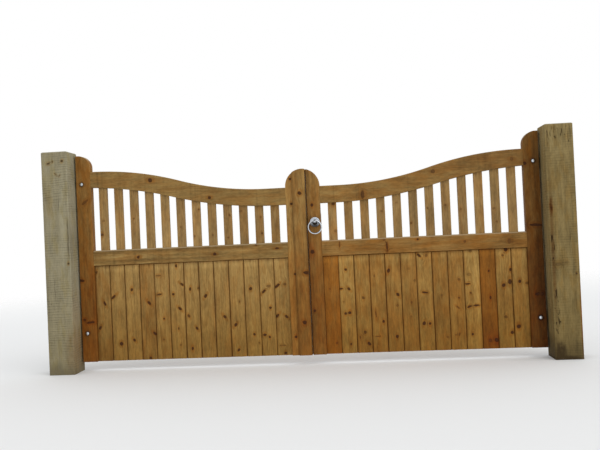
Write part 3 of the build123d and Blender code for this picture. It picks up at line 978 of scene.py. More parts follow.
def fill_saw_marks(g: Graph, s: dict[str, Socket]) -> dict[str, Socket]:
    """Saw marks: fine ridges across the plank whose spacing and depth drift.

    Args:
        g: graph of the group.
        s: the group's inputs by name.

    Returns:
        The group's outputs by name.
    """
    drift = g.noise(s["Grain"], (5.0, 5.0, 9.0), 1.0)
    _, _, along = g.part(s["Grain"])
    phase = g.plus(drift, 14.0, g.times(along, s["Pitch"]))
    wave = g.step(g.math("SINE", phase), -0.4, 1.0)
    grit = g.step(g.noise(s["Grain"], (22.0, 22.0, 300.0), 3.0, 0.65), 0.3, 0.7)
    patchy = g.step(g.noise(s["Grain"], (9.0, 9.0, 7.0)), 0.35, 0.65)
    return {"Mark": g.times(g.times(wave, grit), patchy)}


SAW_MARKS = Effect("saw_marks", ("Grain",), {"Pitch": 900.0}, ("Mark",), fill_saw_marks)


def fill_zinc(g: Graph, s: dict[str, Socket]) -> dict[str, Socket]:
    """Zinc coat: flat-toned crystals of a centimetre or less, with clouding and grime.

    Args:
        g: graph of the group.
        s: the group's inputs by name.

    Returns:
        The group's outputs by name.
    """
    cells = g.node("ShaderNodeTexVoronoi", {"Vector": s["Place"], "Scale": s["Crystals"]}, feature="F1")
    tone, _, _ = g.part(g.vector("ABSOLUTE", cells.outputs["Color"]))
    cloud = g.noise(s["Place"], 38.0, 4.0, 0.6)
    grime = g.step(g.noise(s["Place"], 14.0, 5.0, 0.65), 0.5, 0.72)
    pits = g.step(g.noise(s["Place"], 900.0, 2.0), 0.62, 0.75)
    height = g.plus(cloud, 0.6, g.times(pits, -1.0))
    return {"Tone": tone, "Cloud": cloud, "Grime": grime, "Height": height}


ZINC_MASKS = ("Tone", "Cloud", "Grime", "Height")
ZINC = Effect("zinc_coat", ("Place",), {"Crystals": 120.0}, ZINC_MASKS, fill_zinc)


@dataclass(frozen=True)
class Finish:
    """A look whose material is made once, with a slot name that nothing here fills."""

    name: str
    slot: str

    def shade(self, g: Graph) -> dict:
        """Inputs of the Principled shader, which each kind of finish works out itself."""
        raise NotImplementedError

    def material(self) -> bpy.types.Material:
        """The node material, made the first time it is asked for.

        Returns:
            The material, with its shader linked to the output.
        """
        found = bpy.data.materials.get(self.name)
        if found is not None:
            return found
        made = bpy.data.materials.new(self.name)
        made.use_nodes = True
        g = Graph(made.node_tree)
        g.close(g.node("ShaderNodeBsdfPrincipled", self.shade(g)))
        return made

    def dress(self, piece: Piece) -> None:
        """Give a piece this finish."""
        piece.data.materials.clear()
        piece.data.materials.append(self.material())


@dataclass(frozen=True)
class TimberFinish(Finish):
    """Look of a kind of timber; colours are linear, and depths are shares of the colour.

    A tone is what the colour is multiplied by where a mark lies.
    """

    early: Colour
    late: Colour
    warm: Colour
    # painted shade: the colour is multiplied by this towards the bottom, from full at the first height of
    # low_between to none at the second
    low: Colour
    knot: Colour = (0.045, 0.014, 0.004)
    halo: Colour = (0.90, 0.72, 0.50)
    damp: Colour = (0.120, 0.068, 0.026)
    # painted sheen: faces that point up are paled towards this colour as if they reflected the sky
    sheen: Colour = (0.46, 0.36, 0.22)
    orange_tone: Colour = (1.0, 0.6, 0.32)
    # the pale and dark tones serve staining and also painted light and shade
    pale_tone: Colour = (1.5, 1.6, 1.8)
    dark_tone: Colour = (0.22, 0.17, 0.13)
    # tone of wear on arrises, bluish-pale as a painted highlight of the edges as well
    worn_tone: Colour = (1.5, 1.6, 1.9)
    rim_tone: Colour = (0.35, 0.3, 0.3)
    # painted shade beside joints (shade tone), and joint lines that are partly dark gaps and partly
    # painted shade (joint tone)
    shade_tone: Colour = (0.6, 0.45, 0.35)
    joint_tone: Colour = (0.42, 0.34, 0.26)
    crack_tone: Colour = (0.2, 0.17, 0.15)
    low_between: Pair = (0.05, 0.62)
    ring_depth: float = 0.55
    mottle_depth: float = 0.27
    hue_depth: float = 0.22
    fibre_depth: float = 0.25
    worn: float = 0.35
    damp_reach: float = 0.12
    damp_depth: float = 0.0
    saw_depth: float = 0.0
    saw_pitch: float = 450.0
    crack_amount: float = 0.1
    crack_depth: float = 0.55
    roughness: float = 0.55
    specular: float = 0.12
    relief: float = 0.25

    def shade(self, g: Graph) -> dict:
        """Timber's inputs: rings, mottle, fibre, staining, knots, joints and cracks, with painted light,
        shade and sheen.

        Args:
            g: graph of the material.

        Returns:
            Socket name to a value or an output.
        """
        place = g.node("ShaderNodeTexCoord").outputs["Object"]
        grain = g.mark("grain", vector=True)
        value, warm, streaky = g.part(g.mark("tint", vector=True))
        dark, orange, pale = g.part(g.mark("stain", vector=True))
        fibre = g.group(FIBRE, {"Grain": grain})
        mottle = g.group(MOTTLE, {"Grain": grain})
        rings = g.group(RINGS, {"Ring": g.mark("ring"), "Grain": grain})
        knots = g.group(KNOTS, {"Knot": g.mark("knot", vector=True), "Grain": grain})
        foot, fade = self.low_between
        weather = g.group(WEATHER_SHADE, {"Place": place, "Reach": self.damp_reach, "Foot": foot, "Fade": fade})
        saw = g.group(SAW_MARKS, {"Grain": grain, "Pitch": self.saw_pitch})
        crack = g.mark("crack", vector=True)
        marks = {"Grain": grain, "Crack": crack, "Edge": g.mark("edge"), "Seam": g.mark("seam")}
        flaws = g.group(FLAWS, {**marks, "Amount": self.crack_amount})

        colour = g.mix(g.times(rings["Late"], self.ring_depth), rgba(self.early), self.late)
        colour = g.mix(g.plus(mottle["Hue"], self.hue_depth, warm), colour, self.warm)
        # Painted shade: darker towards the bottom of each piece.
        colour = g.stained(weather["Low"], colour, self.low)
        light = g.plus(mottle["Light"], self.mottle_depth, 1.0)
        light = g.plus(g.math("SUBTRACT", fibre["Fine"], 0.5), self.fibre_depth * 2, light)
        light = g.plus(fibre["Dash"], -0.2, light)
        light = g.plus(weather["Runs"], g.times(streaky, -0.35), light)
        light = g.plus(saw["Mark"], -self.saw_depth, light)
        light = g.times(light, g.math("ADD", value, 1.0))
        colour = g.scaled(colour, g.math("MAXIMUM", light, 0.05))
        # Orange, pale and dark patches: staining, and painted light and shade where patches are placed
        # for it.
        blotch = g.plus(g.noise(grain, (70.0, 70.0, 40.0), 3.0), 1.6, 0.2)
        colour = g.stained(g.times(orange, blotch), colour, self.orange_tone)
        colour = g.stained(g.times(pale, blotch), colour, self.pale_tone)
        colour = g.stained(g.times(dark, blotch), colour, self.dark_tone)
        # Wear on the arrises, paled also as a painted highlight.
        colour = g.stained(g.times(flaws["Worn"], self.worn), colour, self.worn_tone)
        colour = g.stained(knots["Halo"], colour, self.halo)
        colour = g.mix(knots["Heart"], colour, self.knot)
        colour = g.stained(g.times(knots["Rim"], 0.75), colour, self.rim_tone)
        # Painted shade beside joints and under the rail, then joint lines that are partly dark gaps and
        # partly painted shade.
        colour = g.stained(g.times(flaws["Shade"], 0.2), colour, self.shade_tone)
        colour = g.stained(flaws["Joint"], colour, self.joint_tone)
        colour = g.stained(g.times(flaws["Gap"], self.crack_depth), colour, self.crack_tone)
        colour = g.mix(g.times(weather["Damp"], self.damp_depth), colour, self.damp)
        # Painted sheen: faces whose normals point up are paled as if lit by the sky.
        lit = g.times(g.step(g.mark("up"), 0.45, 0.8), 0.6)
        colour = g.mix(lit, colour, self.sheen)

        height = g.plus(fibre["Height"], 0.55, g.times(rings["Late"], 0.35))
        height = g.plus(knots["Height"], 0.8, height)
        height = g.plus(saw["Mark"], -2.2 * min(1.0, self.saw_depth * 3), height)
        height = g.plus(flaws["Gap"], -3.0 * self.crack_depth, height)
        rough = g.plus(fibre["Fine"], 0.2, self.roughness)
        rough = g.plus(knots["Heart"], -0.12, rough)
        return {
            "Base Color": colour,
            "Roughness": rough,
            "Normal": g.bump(height, self.relief),
            "Specular IOR Level": self.specular,
        }


@dataclass(frozen=True)
class MetalFinish(Finish):
    """Look of a zinc-coated metal; colours are linear."""

    light: Colour
    dark: Colour
    # colour of the zinc's grime, and of the painted shade on the fittings' points
    grime: Colour
    crystals: float = 120.0
    grime_depth: float = 0.4
    roughness: float = 0.42
    relief: float = 0.12
    metallic: float = 1.0

    def shade(self, g: Graph) -> dict:
        """Metal's inputs: crystals and clouding first, then grime and the fittings' painted shade.

        Args:
            g: graph of the material.

        Returns:
            Socket name to a value or an output.
        """
        place = g.node("ShaderNodeTexCoord").outputs["Object"]
        zinc = g.group(ZINC, {"Place": place, "Crystals": self.crystals})
        share = g.math("MULTIPLY_ADD", zinc["Cloud"], 0.6, g.times(zinc["Tone"], 0.5), clamp=True)
        colour = g.mix(share, rgba(self.dark), self.light)
        # Darker of the grime from noise and the painted shade that the fitting's points carry.
        soot = g.math("MAXIMUM", g.times(zinc["Grime"], self.grime_depth), g.mark("soot"))
        colour = g.mix(soot, colour, self.grime)
        rough = g.plus(zinc["Cloud"], 0.25, self.roughness - 0.1)
        rough = g.math("MULTIPLY_ADD", soot, 0.35, rough, clamp=True)
        return {
            "Base Color": colour,
            "Roughness": rough,
            "Normal": g.bump(zinc["Height"], self.relief),
            "Metallic": self.metallic,
        }


PINE = TimberFinish(
    name="finish_stained_pine",
    slot="stained_pine",
    early=(0.305, 0.186, 0.058),
    late=(0.205, 0.102, 0.023),
    warm=(0.245, 0.092, 0.011),
    low=(0.78, 0.70, 0.50),
)
AMBER_PINE = replace(
    PINE, name="finish_amber_pine", early=(0.305, 0.180, 0.049), late=(0.205, 0.098, 0.018)
)
# Stiles have their painted shade fade from full at 0.35 m to none at 0.95 m.
STILE_PINE = replace(PINE, name="finish_stile_pine", low=(0.80, 0.63, 0.40), low_between=(0.35, 0.95))
PICKET_PINE = replace(
    PINE,
    name="finish_picket_pine",
    slot="pale_picket_pine",
    early=(0.312, 0.192, 0.070),
    late=(0.212, 0.106, 0.025),
    warm=(0.25, 0.105, 0.018),
)
LEFT_POST_TIMBER = TimberFinish(
    name="finish_left_post",
    slot="sawn_post",
    early=(0.268, 0.234, 0.147),
    late=(0.228, 0.190, 0.110),
    warm=(0.250, 0.200, 0.085),
    low=(0.93, 0.91, 0.85),
    knot=(0.055, 0.038, 0.020),
    damp=(0.070, 0.060, 0.040),
    sheen=(0.42, 0.40, 0.32),
    ring_depth=0.2,
    mottle_depth=0.14,
    hue_depth=0.5,
    fibre_depth=0.1,
    worn=0.1,
    damp_reach=0.1,
    damp_depth=0.45,
    saw_depth=0.34,
    crack_amount=0.1,
    crack_depth=0.8,
    roughness=0.75,
    relief=0.45,
)
RIGHT_POST_TIMBER = replace(
    LEFT_POST_TIMBER,
    name="finish_right_post",
    early=(0.214, 0.154, 0.061),
    late=(0.160, 0.109, 0.037),
    warm=(0.215, 0.130, 0.035),
    damp=(0.060, 0.044, 0.020),
    mottle_depth=0.22,
    damp_reach=0.17,
    damp_depth=0.45,
    saw_depth=0.25,
    crack_amount=0.3,
    crack_depth=0.95,
)
GALVANISED = MetalFinish(
    name="finish_galvanised",
    slot="galvanised_steel",
    light=(0.52, 0.54, 0.56),
    dark=(0.30, 0.315, 0.33),
    grime=(0.16, 0.13, 0.10),
)
BRIGHT_ZINC = MetalFinish(
    name="finish_bright_zinc",
    slot="bright_zinc",
    light=(0.84, 0.88, 0.93),
    dark=(0.60, 0.65, 0.71),
    # near black, for the painted shade on bolts, rose and ring
    grime=(0.045, 0.038, 0.030),
    crystals=420.0,
    grime_depth=0.15,
    roughness=0.26,
    relief=0.05,
)


def put(piece: Piece, finish: Finish, body: str, node: str) -> Piece:
    """Dress a piece, let it ride on a body and stand for a node.

    Args:
        piece: the piece.
        finish: its finish.
        body: name of the body that it rides on.
        node: name of the node that it stands for.

    Returns:
        The same piece.
    """
    finish.dress(piece)
    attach(piece, body)
    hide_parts(node)
    LOG.info("%s stands for %s on %s", piece.name, node, body)
    return piece


@dataclass(frozen=True)
class Member:
    """Tone and features of one post, stile, rail or strip."""

    tint: Triple = (0.0, 0.0, 0.0)
    knots: tuple[Knot, ...] = ()
    stains: tuple[Stain, ...] = ()
    cracks: tuple[Crack, ...] = ()

    def plank(self, **sizes: object) -> Plank:
        """A plank of the given sizes that carries this tone and these features."""
        return Plank(tint=self.tint, knots=self.knots, stains=self.stains, cracks=self.cracks, **sizes)


@dataclass
class Post:
    """A square sawn post with weathered top arrises."""

    node: str
    centre_x: float
    finish: TimberFinish
    member: Member
    seed: int
    width: float = 150.0
    height: float = 1280.0
    top_ease: float = 5.0
    arris: float = 3.5
    step: float = 8.0

    def weathered_top(self, a: Array, l: Array, t: Array) -> Places:
        """Draw the top in by 45 degrees: the half width shrinks by what is left to the top.

        Args:
            a: places across the plank.
            l: places along it.
            t: places through it.

        Returns:
            The same places, moved.
        """
        half = self.width / 2
        inset = np.clip(self.top_ease - (self.height - l), 0.0, self.top_ease)
        share = (half - inset) / half
        return self.centre_x + (a - self.centre_x) * share, l, t * share

    def build(self) -> Piece:
        """Make the post, dress it and put it in place of its node.

        Returns:
            The dressed piece.
        """
        half = self.width / 2
        body = eased_lines(0.0, self.height - self.top_ease, self.step, 1.0)[:-2]
        top = self.height - self.top_ease * np.array([1.0, 0.5, 0.2, 0.0])
        plank = self.member.plank(
            across=(self.centre_x - half, self.centre_x + half),
            along=(0.0, self.height),
            through=(-half, half),
            ease=self.arris,
            end_ease=1.0,
            steps=(self.step, self.step, self.step),
            lines={1: np.concatenate([body, top])},
            seed=self.seed,
            form=self.weathered_top,
        )
        return put(make_piece(f"dressed_{self.node}", [plank.surface()]), self.finish, "posts", self.node)


@dataclass(frozen=True)
class SwanNeck:
    """The two S curves of the top rail, as heights over the leaf's bottom by reach."""

    over_low: Pair = (212.0, 961.0)
    over_high: Pair = (1225.0, 1111.0)
    under_low: Pair = (175.0, 863.0)
    under_high: Pair = (1342.0, 1021.0)
    depth: float = 94.0

    @staticmethod
    def ess(reach: Array, low: Pair, high: Pair) -> Array:
        """Height of an S of two equal arcs, level at both ends and beyond them.

        With run r and rise h the arcs' radius is R = (r^2 + h^2) / 4h; the first arc is
        R - sqrt(R^2 - d^2) over the low end at a distance d, and the second its mirror.

        Args:
            reach: distances from the middle of the opening.
            low: reach and height of the lower end.
            high: reach and height of the upper end.

        Returns:
            The heights.
        """
        run, rise = high[0] - low[0], high[1] - low[1]
        radius = (run**2 + rise**2) / (4 * rise)
        d = np.clip(reach - low[0], 0.0, run)
        first = radius - np.sqrt(radius**2 - np.minimum(d, run / 2) ** 2)
        rest = np.clip(run - d, 0.0, run / 2)
        second = rise - (radius - np.sqrt(radius**2 - rest**2))
        return low[1] + np.where(d < run / 2, first, second)

    def over(self, reach: Array) -> Array:
        """Height of the top edge."""
        return self.ess(reach, self.over_low, self.over_high)

    def under(self, reach: Array) -> Array:
        """Height of the under edge."""
        return self.ess(reach, self.under_low, self.under_high)


def round_lines(side: int, near: float, far: float, count: int = 20) -> Array:
    """X of lattice lines under the round head, a like turn of the circle apart.

    Args:
        side: -1 for the left leaf and 1 for the right.
        near: least reach.
        far: greatest reach.
        count: number of lines on the round.

    Returns:
        The lines' X, rising.
    """
    radius = PLAN.meet_reach
    turns = np.linspace(math.asin(near / radius), math.asin(min(far / radius, 1.0)), count)
    reaches = np.concatenate([radius * np.sin(turns), [near + 1.0, near + 2.0]])
    return np.sort(PLAN.centre_x + side * reaches)


def round_head(foot: float, nominal: float) -> Form:
    """Form that ends a block under the round head over the meeting stiles.

    Args:
        foot: Z of the block's lower end.
        nominal: Z of its straight upper end before it is bent.

    Returns:
        A form that takes the top to the centre's height + sqrt(R^2 - reach^2).
    """

    def form(a: Array, l: Array, t: Array) -> Places:
        """Scale each column to its own height."""
        reach = np.clip(np.abs(a - PLAN.centre_x), 0.0, PLAN.meet_reach)
        top = PLAN.z(PLAN.head_centre_h) + np.sqrt(PLAN.meet_reach**2 - reach**2)
        return a, foot + (l - foot) * (top - foot) / (nominal - foot), t

    return form


@dataclass
class Frame:
    """Stiles, rails and brace of one leaf."""

    side: Side
    meet_edge: float
    hanging: Member
    meeting: Member
    top: Member
    mid: Member
    seed: int
    splay: float = 0.0
    ridge: float = 0.0
    edge_reach: float = 20.0
    head_round: float = 72.0
    rail_bevel: float = 9.0
    board_back: float = 60.0
    brace_half: float = 45.0
    neck: SwanNeck = field(default_factory=SwanNeck)

    def finished(self, plank: Plank, name: str) -> Piece:
        """Make one member of the leaf and put it in place of its node.

        Args:
            plank: the member.
            name: its name on the leaf.

        Returns:
            The dressed piece.
        """
        node = self.side.node(name)
        finish = STILE_PINE if name.endswith("stile") else PINE
        return put(make_piece(f"dressed_{node}", [plank.surface()]), finish, self.side.body, node)

    def hanging_stile(self) -> Piece:
        """Stile on the hinge side, its top rounded by a quarter circle towards the panel.

        The top is the leaf's height less what a circle of the head's radius leaves: the
        height at a distance d into the stile is H - R + sqrt(R^2 - (R - d)^2) while d < R.

        Returns:
            The dressed piece.
        """
        s, radius = self.side.value, self.head_round
        foot, top = PLAN.z(0), PLAN.z(PLAN.leaf_h)

        def form(a: Array, l: Array, t: Array) -> Places:
            """Pull each column's top down to the round."""
            into = np.clip((a - PLAN.centre_x) * s - PLAN.panel_reach, 0.0, radius)
            ends = top - radius + np.sqrt(radius**2 - (radius - into) ** 2)
            return a, foot + (l - foot) * (ends - foot) / (top - foot), t

        bend = radius * (1 - np.cos(np.linspace(0.0, math.pi / 2, 18)))
        rest = radius + np.array([6.0, 12.5, 13.5, 14.5])
        reaches = PLAN.panel_reach + np.concatenate([bend, rest])
        plank = self.hanging.plank(
            across=PLAN.stretch(s, PLAN.panel_reach, PLAN.hang_edge),
            along=(foot, top),
            through=PLAN.depth,
            lines={0: np.sort(PLAN.centre_x + s * reaches)},
            steps=(5.5, 5.5, 9.0),
            seed=self.seed,
            form=form,
        )
        return self.finished(plank, "hanging_stile")

    def meeting_stile(self) -> Piece:
        """Stile in the middle of the opening, under its share of the round head.

        The free edge may be splayed or ridged so that no daylight shows through the joint.
        At a share d of the depth a point moves out by splay d + ridge min(3 d, 3 (1 - d) / 2),
        which fades over the edge's reach.

        Returns:
            The dressed piece.
        """
        s, foot = self.side.value, PLAN.z(0)
        edge = PLAN.x(s, self.meet_edge)
        rounded = round_head(foot, foot + PLAN.leaf_h)

        def form(a: Array, l: Array, t: Array) -> Places:
            """End the stile under the round, then work its free edge."""
            a, l, t = rounded(a, l, t)
            near = np.clip(1.0 - np.abs(edge - a) / self.edge_reach, 0.0, 1.0)
            deep = np.clip((t - PLAN.front) / (PLAN.back - PLAN.front), 0.0, 1.0)
            out = self.splay * deep + self.ridge * np.minimum(3 * deep, 1.5 * (1 - deep))
            return a - s * out * near, l, t

        depths = PLAN.front + np.array([0, 1, 2, 6, 10.5, 15, 22, 29, 36, 43, 44, 45])
        plank = self.meeting.plank(
            across=PLAN.stretch(s, self.meet_edge, PLAN.meet_reach),
            along=(foot, foot + PLAN.leaf_h),
            through=PLAN.depth,
            lines={0: round_lines(s, self.meet_edge, PLAN.meet_reach), 2: depths},
            steps=(5.5, 6.0, 9.0),
            seed=self.seed + 1,
            form=form,
        )
        return self.finished(plank, "meeting_stile")

    def top_rail(self) -> Piece:
        """Swan-neck rail: at each X the block's height is stretched between the two S curves.

        Returns:
            The dressed piece.
        """
        s, neck = self.side.value, self.neck

        def form(a: Array, l: Array, t: Array) -> Places:
            """Lay the block's across between the under edge and the top edge."""
            reach = (l - PLAN.centre_x) * s
            under, over = neck.under(reach), neck.over(reach)
            return PLAN.z(under + a / neck.depth * (over - under)), l, t

        plank = self.top.plank(
            across=(0.0, neck.depth),
            along=PLAN.span(s),
            through=PLAN.depth,
            lay=LEVEL,
            end_ease=0.5,
            steps=(5.5, 6.5, 9.0),
            seed=self.seed + 2,
            form=form,
        )
        return self.finished(plank, "top_rail")

    def mid_rail(self) -> Piece:
        """Middle rail, its top arrises bevelled to shed the rain.

        Returns:
            The dressed piece.
        """
        bottom = PLAN.z(PLAN.mid_rail_bottom)
        top = bottom + PLAN.mid_rail_depth
        bevel = self.rail_bevel

        def form(a: Array, l: Array, t: Array) -> Places:
            """Narrow the block towards its top by what is left of the bevel."""
            inset = np.clip(bevel - (top - a), 0.0, bevel)
            middle, half = sum(PLAN.depth) / 2, (PLAN.back - PLAN.front) / 2
            return a, l, middle + (t - middle) * (half - inset) / half

        body = eased_lines(bottom, top - bevel, 5.5, 1.5)[:-2]
        plank = self.mid.plank(
            across=(bottom, top),
            along=PLAN.span(self.side.value),
            through=PLAN.depth,
            lay=LEVEL,
            ease=1.5,
            end_ease=0.5,
            steps=(5.5, 6.5, 9.0),
            lines={0: np.concatenate([body, top - bevel * np.array([0.95, 0.6, 0.3, 0.1, 0.0])])},
            seed=self.seed + 3,
            form=form,
        )
        return self.finished(plank, "mid_rail")

    def bottom_rail(self) -> Piece:
        """Ledge behind the foot of the boards.

        Returns:
            The dressed piece.
        """
        half = PLAN.bottom_rail_depth / 2
        middle = PLAN.z(PLAN.bottom_rail_centre)
        across = (middle - half, middle + half)
        span = PLAN.span(self.side.value)
        plank = Plank(
            across=across,
            along=span,
            through=(self.board_back, PLAN.back),
            lay=LEVEL,
            ease=1.5,
            steps=(6.0, 9.0, 6.0),
            knots=stray_knots(self.seed + 40, across, span, 5),
            tint=(0.0, 0.1, 0.3),
            seed=self.seed + 4,
        )
        return self.finished(plank, "bottom_rail")

    def brace(self) -> Piece:
        """Brace behind the boards, mitred into the corners that it joins.

        With the brace's own slope as f, a line across it at a starts at a tan f over the
        middle line and at -a / tan f under it, and its far end is the same turned about.

        Returns:
            The dressed piece.
        """
        s, half = self.side.value, self.brace_half
        low = PLAN.bottom_rail_centre + PLAN.bottom_rail_depth / 2
        run, rise = PLAN.panel_reach - PLAN.meet_reach, PLAN.mid_rail_bottom - low
        length, slope = math.hypot(run, rise), rise / run

        def form(a: Array, l: Array, t: Array) -> Places:
            """Run each line across the brace from its own start to its own end."""
            start = np.where(a > 0, a * slope, -a / slope)
            stop = length - np.where(a < 0, -a * slope, a / slope)
            return a, start + l / length * (stop - start), t

        edge = half - np.array([1.5, 0.75, 0.0])
        ends = (150.0, length - 150.0)
        plank = Plank(
            across=(-half, half),
            along=(0.0, length),
            through=(self.board_back, PLAN.back),
            lay=Lay(
                across=(s * rise / length, 0.0, run / length),
                along=(-s * run / length, 0.0, rise / length),
                origin=(PLAN.x(s, PLAN.panel_reach), 0.0, PLAN.z(low)),
            ),
            ease=1.5,
            steps=(6.0, 9.0, 6.0),
            lines={0: np.concatenate([-edge[::-1], np.linspace(-38, 38, 13), edge])},
            knots=stray_knots(self.seed + 50, (-half, half), ends, 6),
            tint=(-0.04, 0.2, 0.3),
            seed=self.seed + 5,
            form=form,
        )
        return self.finished(plank, "brace")

    def build(self) -> list[Piece]:
        """Make the leaf's stiles, rails and brace."""
        stiles = [self.hanging_stile(), self.meeting_stile()]
        return [*stiles, self.top_rail(), self.mid_rail(), self.bottom_rail(), self.brace()]


@dataclass
class Pickets:
    """Pickets on the middle rail, their heads cut to the top rail's under edge."""

    side: Side
    seed: int
    count: int = 12
    width: float = 49.0
    front: float = 42.5
    back: float = 62.5
    neck: SwanNeck = field(default_factory=SwanNeck)

    def picket(self, index: int) -> Plank:
        """One picket, counted from the meeting stile.

        Args:
            index: its place in the row, from nought.

        Returns:
            The picket.
        """
        s = self.side.value
        room = PLAN.panel_reach - PLAN.meet_reach
        gap = (room - self.count * self.width) / (self.count + 1)
        near = PLAN.meet_reach + gap + index * (gap + self.width)
        low, high = PLAN.stretch(s, near, near + self.width)
        foot = PLAN.z(PLAN.mid_rail_bottom + PLAN.mid_rail_depth)
        head = foot + 300.0

        def form(a: Array, l: Array, t: Array) -> Places:
            """Carry each column up to the under edge."""
            top = PLAN.z(self.neck.under((a - PLAN.centre_x) * s))
            return a, foot + (l - foot) * (top - foot) / (head - foot), t

        rng = np.random.default_rng(self.seed + index)
        rise = (foot + 10, foot + 230)
        knots = stray_knots(self.seed + index, (low, high), rise, int(rng.integers(0, 3)))
        return Plank(
            across=(low, high),
            along=(foot, head),
            through=(self.front, self.back),
            ease=1.5,
            end_ease=0.4,
            steps=(6.0, 8.0, 6.0),
            knots=knots,
            tint=(float(rng.uniform(-0.16, 0.1)), float(rng.uniform(0, 0.3)), 0.3),
            seed=self.seed + index,
            form=form,
        )

    def build(self) -> Piece:
        """Make the row of pickets as one piece.

        Returns:
            The dressed piece.
        """
        node = self.side.node("pickets")
        patches = [self.picket(index).surface() for index in range(self.count)]
        return put(make_piece(f"dressed_{node}", patches), PICKET_PINE, self.side.body, node)


@dataclass(frozen=True)
class Board:
    """One matchboard's tone and knots, places counted from its middle and its foot."""

    value: float = 0.0
    warm: float = 0.0
    knots: tuple[Knot, ...] = ()
    stains: tuple[Stain, ...] = ()


@dataclass
class Boarding:
    """Matchboards side by side, with a vee down each joint on the road side."""

    side: Side
    boards: tuple[Board, ...]
    seed: int
    warmer: float = 0.0
    front: float = 48.0
    back: float = 60.0
    vee: float = 4.5
    # painted light at the top of each board, against the shade under the middle rail: its amount, drop,
    # half width and half height
    pale_top: float = 0.45
    pale_drop: float = 16.0
    pale_wide: float = 90.0
    pale_tall: float = 26.0
    # scale of the distance from the middle rail, which sets the painted shadow line under it
    rail_joint: float = 0.6
    streaky: float = 0.3

    def board(self, index: int) -> Plank:
        """One board, counted from the left as seen from the road.

        Args:
            index: its place in the row, from nought.

        Returns:
            The board.
        """
        low, high = PLAN.span(self.side.value)
        cover = (high - low) / len(self.boards)
        left = low + index * cover
        right, middle = left + cover, left + cover / 2
        foot, head = PLAN.z(0), PLAN.z(PLAN.mid_rail_bottom)
        chamfers = (self.vee * (index > 0), self.vee * (index < len(self.boards) - 1))

        def form(a: Array, l: Array, t: Array) -> Places:
            """Set the face back at 45 degrees inside the vees."""
            cut = np.maximum(chamfers[0] - (a - left), chamfers[1] - (right - a)).clip(0.0)
            share = (self.back - t) / (self.back - self.front)
            return a, l, t + cut * share

        tight = np.random.default_rng(self.seed + index).uniform(-0.3, 1.5, 2)

        def seam(a: Array, l: Array) -> Array:
            """Distance from the nearest joint, tighter ones further, or from the rail above."""
            beside = np.minimum(a - left + tight[0], right - a + tight[1])
            # Under the rail the seam gives a painted shadow line.
            return np.minimum(beside, (head - l) * self.rail_joint)

        margin = np.array([0.0, 0.5, 2.2, 4.0, 5.0])
        inner = np.linspace(left + 9.5, right - 9.5, 13)
        own = self.boards[index]
        # Painted light at the top of each board, to lift the shade under the rail.
        high_up = head - foot - self.pale_drop
        pale = Stain(0.0, high_up, self.pale_wide, self.pale_tall, pale=self.pale_top)
        return Plank(
            across=(left, right),
            along=(foot, head),
            through=(self.front, self.back),
            ease=0.5,
            end_ease=0.6,
            steps=(6.0, 6.0, 6.0),
            lines={0: np.concatenate([left + margin, inner, right - margin[::-1]])},
            knots=tuple(moved(knot, middle, foot) for knot in own.knots),
            stains=tuple(moved(stain, middle, foot) for stain in (*own.stains, pale)),
            tint=(own.value, own.warm + self.warmer, self.streaky),
            seed=self.seed + index,
            form=form,
            seam=seam,
        )

    def build(self) -> Piece:
        """Make the panel of boards as one piece.

        Returns:
            The dressed piece.
        """
        node = self.side.node("boarding")
        patches = [self.board(index).surface() for index in range(len(self.boards))]
        finish = PINE if self.side is Side.LEFT else AMBER_PINE
        return put(make_piece(f"dressed_{node}", patches), finish, self.side.body, node)


@dataclass
class CoverStrip:
    """Strip planted on the left meeting stile along the joint of the leaves."""

    member: Member
    free_edge: float = -16.0
    width: float = 74.0
    thick: float = 12.0
    chamfer: float = 2.5
    seed: int = 77

    def build(self) -> Piece:
        """Make the strip, its front arrises chamfered, its head round with the stiles.

        Returns:
            The dressed piece.
        """
        low, high = PLAN.stretch(-1, self.free_edge, self.free_edge + self.width)
        foot = PLAN.z(0)
        rounded = round_head(foot, foot + PLAN.leaf_h)

        def form(a: Array, l: Array, t: Array) -> Places:
            """Chamfer the front arrises, then end the strip under the round head."""
            cut = np.clip(self.chamfer - np.minimum(a - low, high - a), 0.0, self.chamfer)
            share = (PLAN.front - t) / self.thick
            return rounded(a, l, t + cut * share)

        edge = np.array([0.0, 0.8, 1.6, 2.7])
        inner = np.linspace(low + 6, high - 6, 20)
        plank = self.member.plank(
            across=(low, high),
            along=(foot, foot + PLAN.leaf_h),
            through=(PLAN.front - self.thick, PLAN.front),
            ease=0.8,
            lines={0: np.concatenate([low + edge, inner, high - edge[::-1]])},
            steps=(5.5, 6.0, 6.0),
            seed=self.seed,
            form=form,
        )
        piece = make_piece("dressed_cover_strip", [plank.surface()])
        return put(piece, STILE_PINE, "left_leaf", "cover_strip")


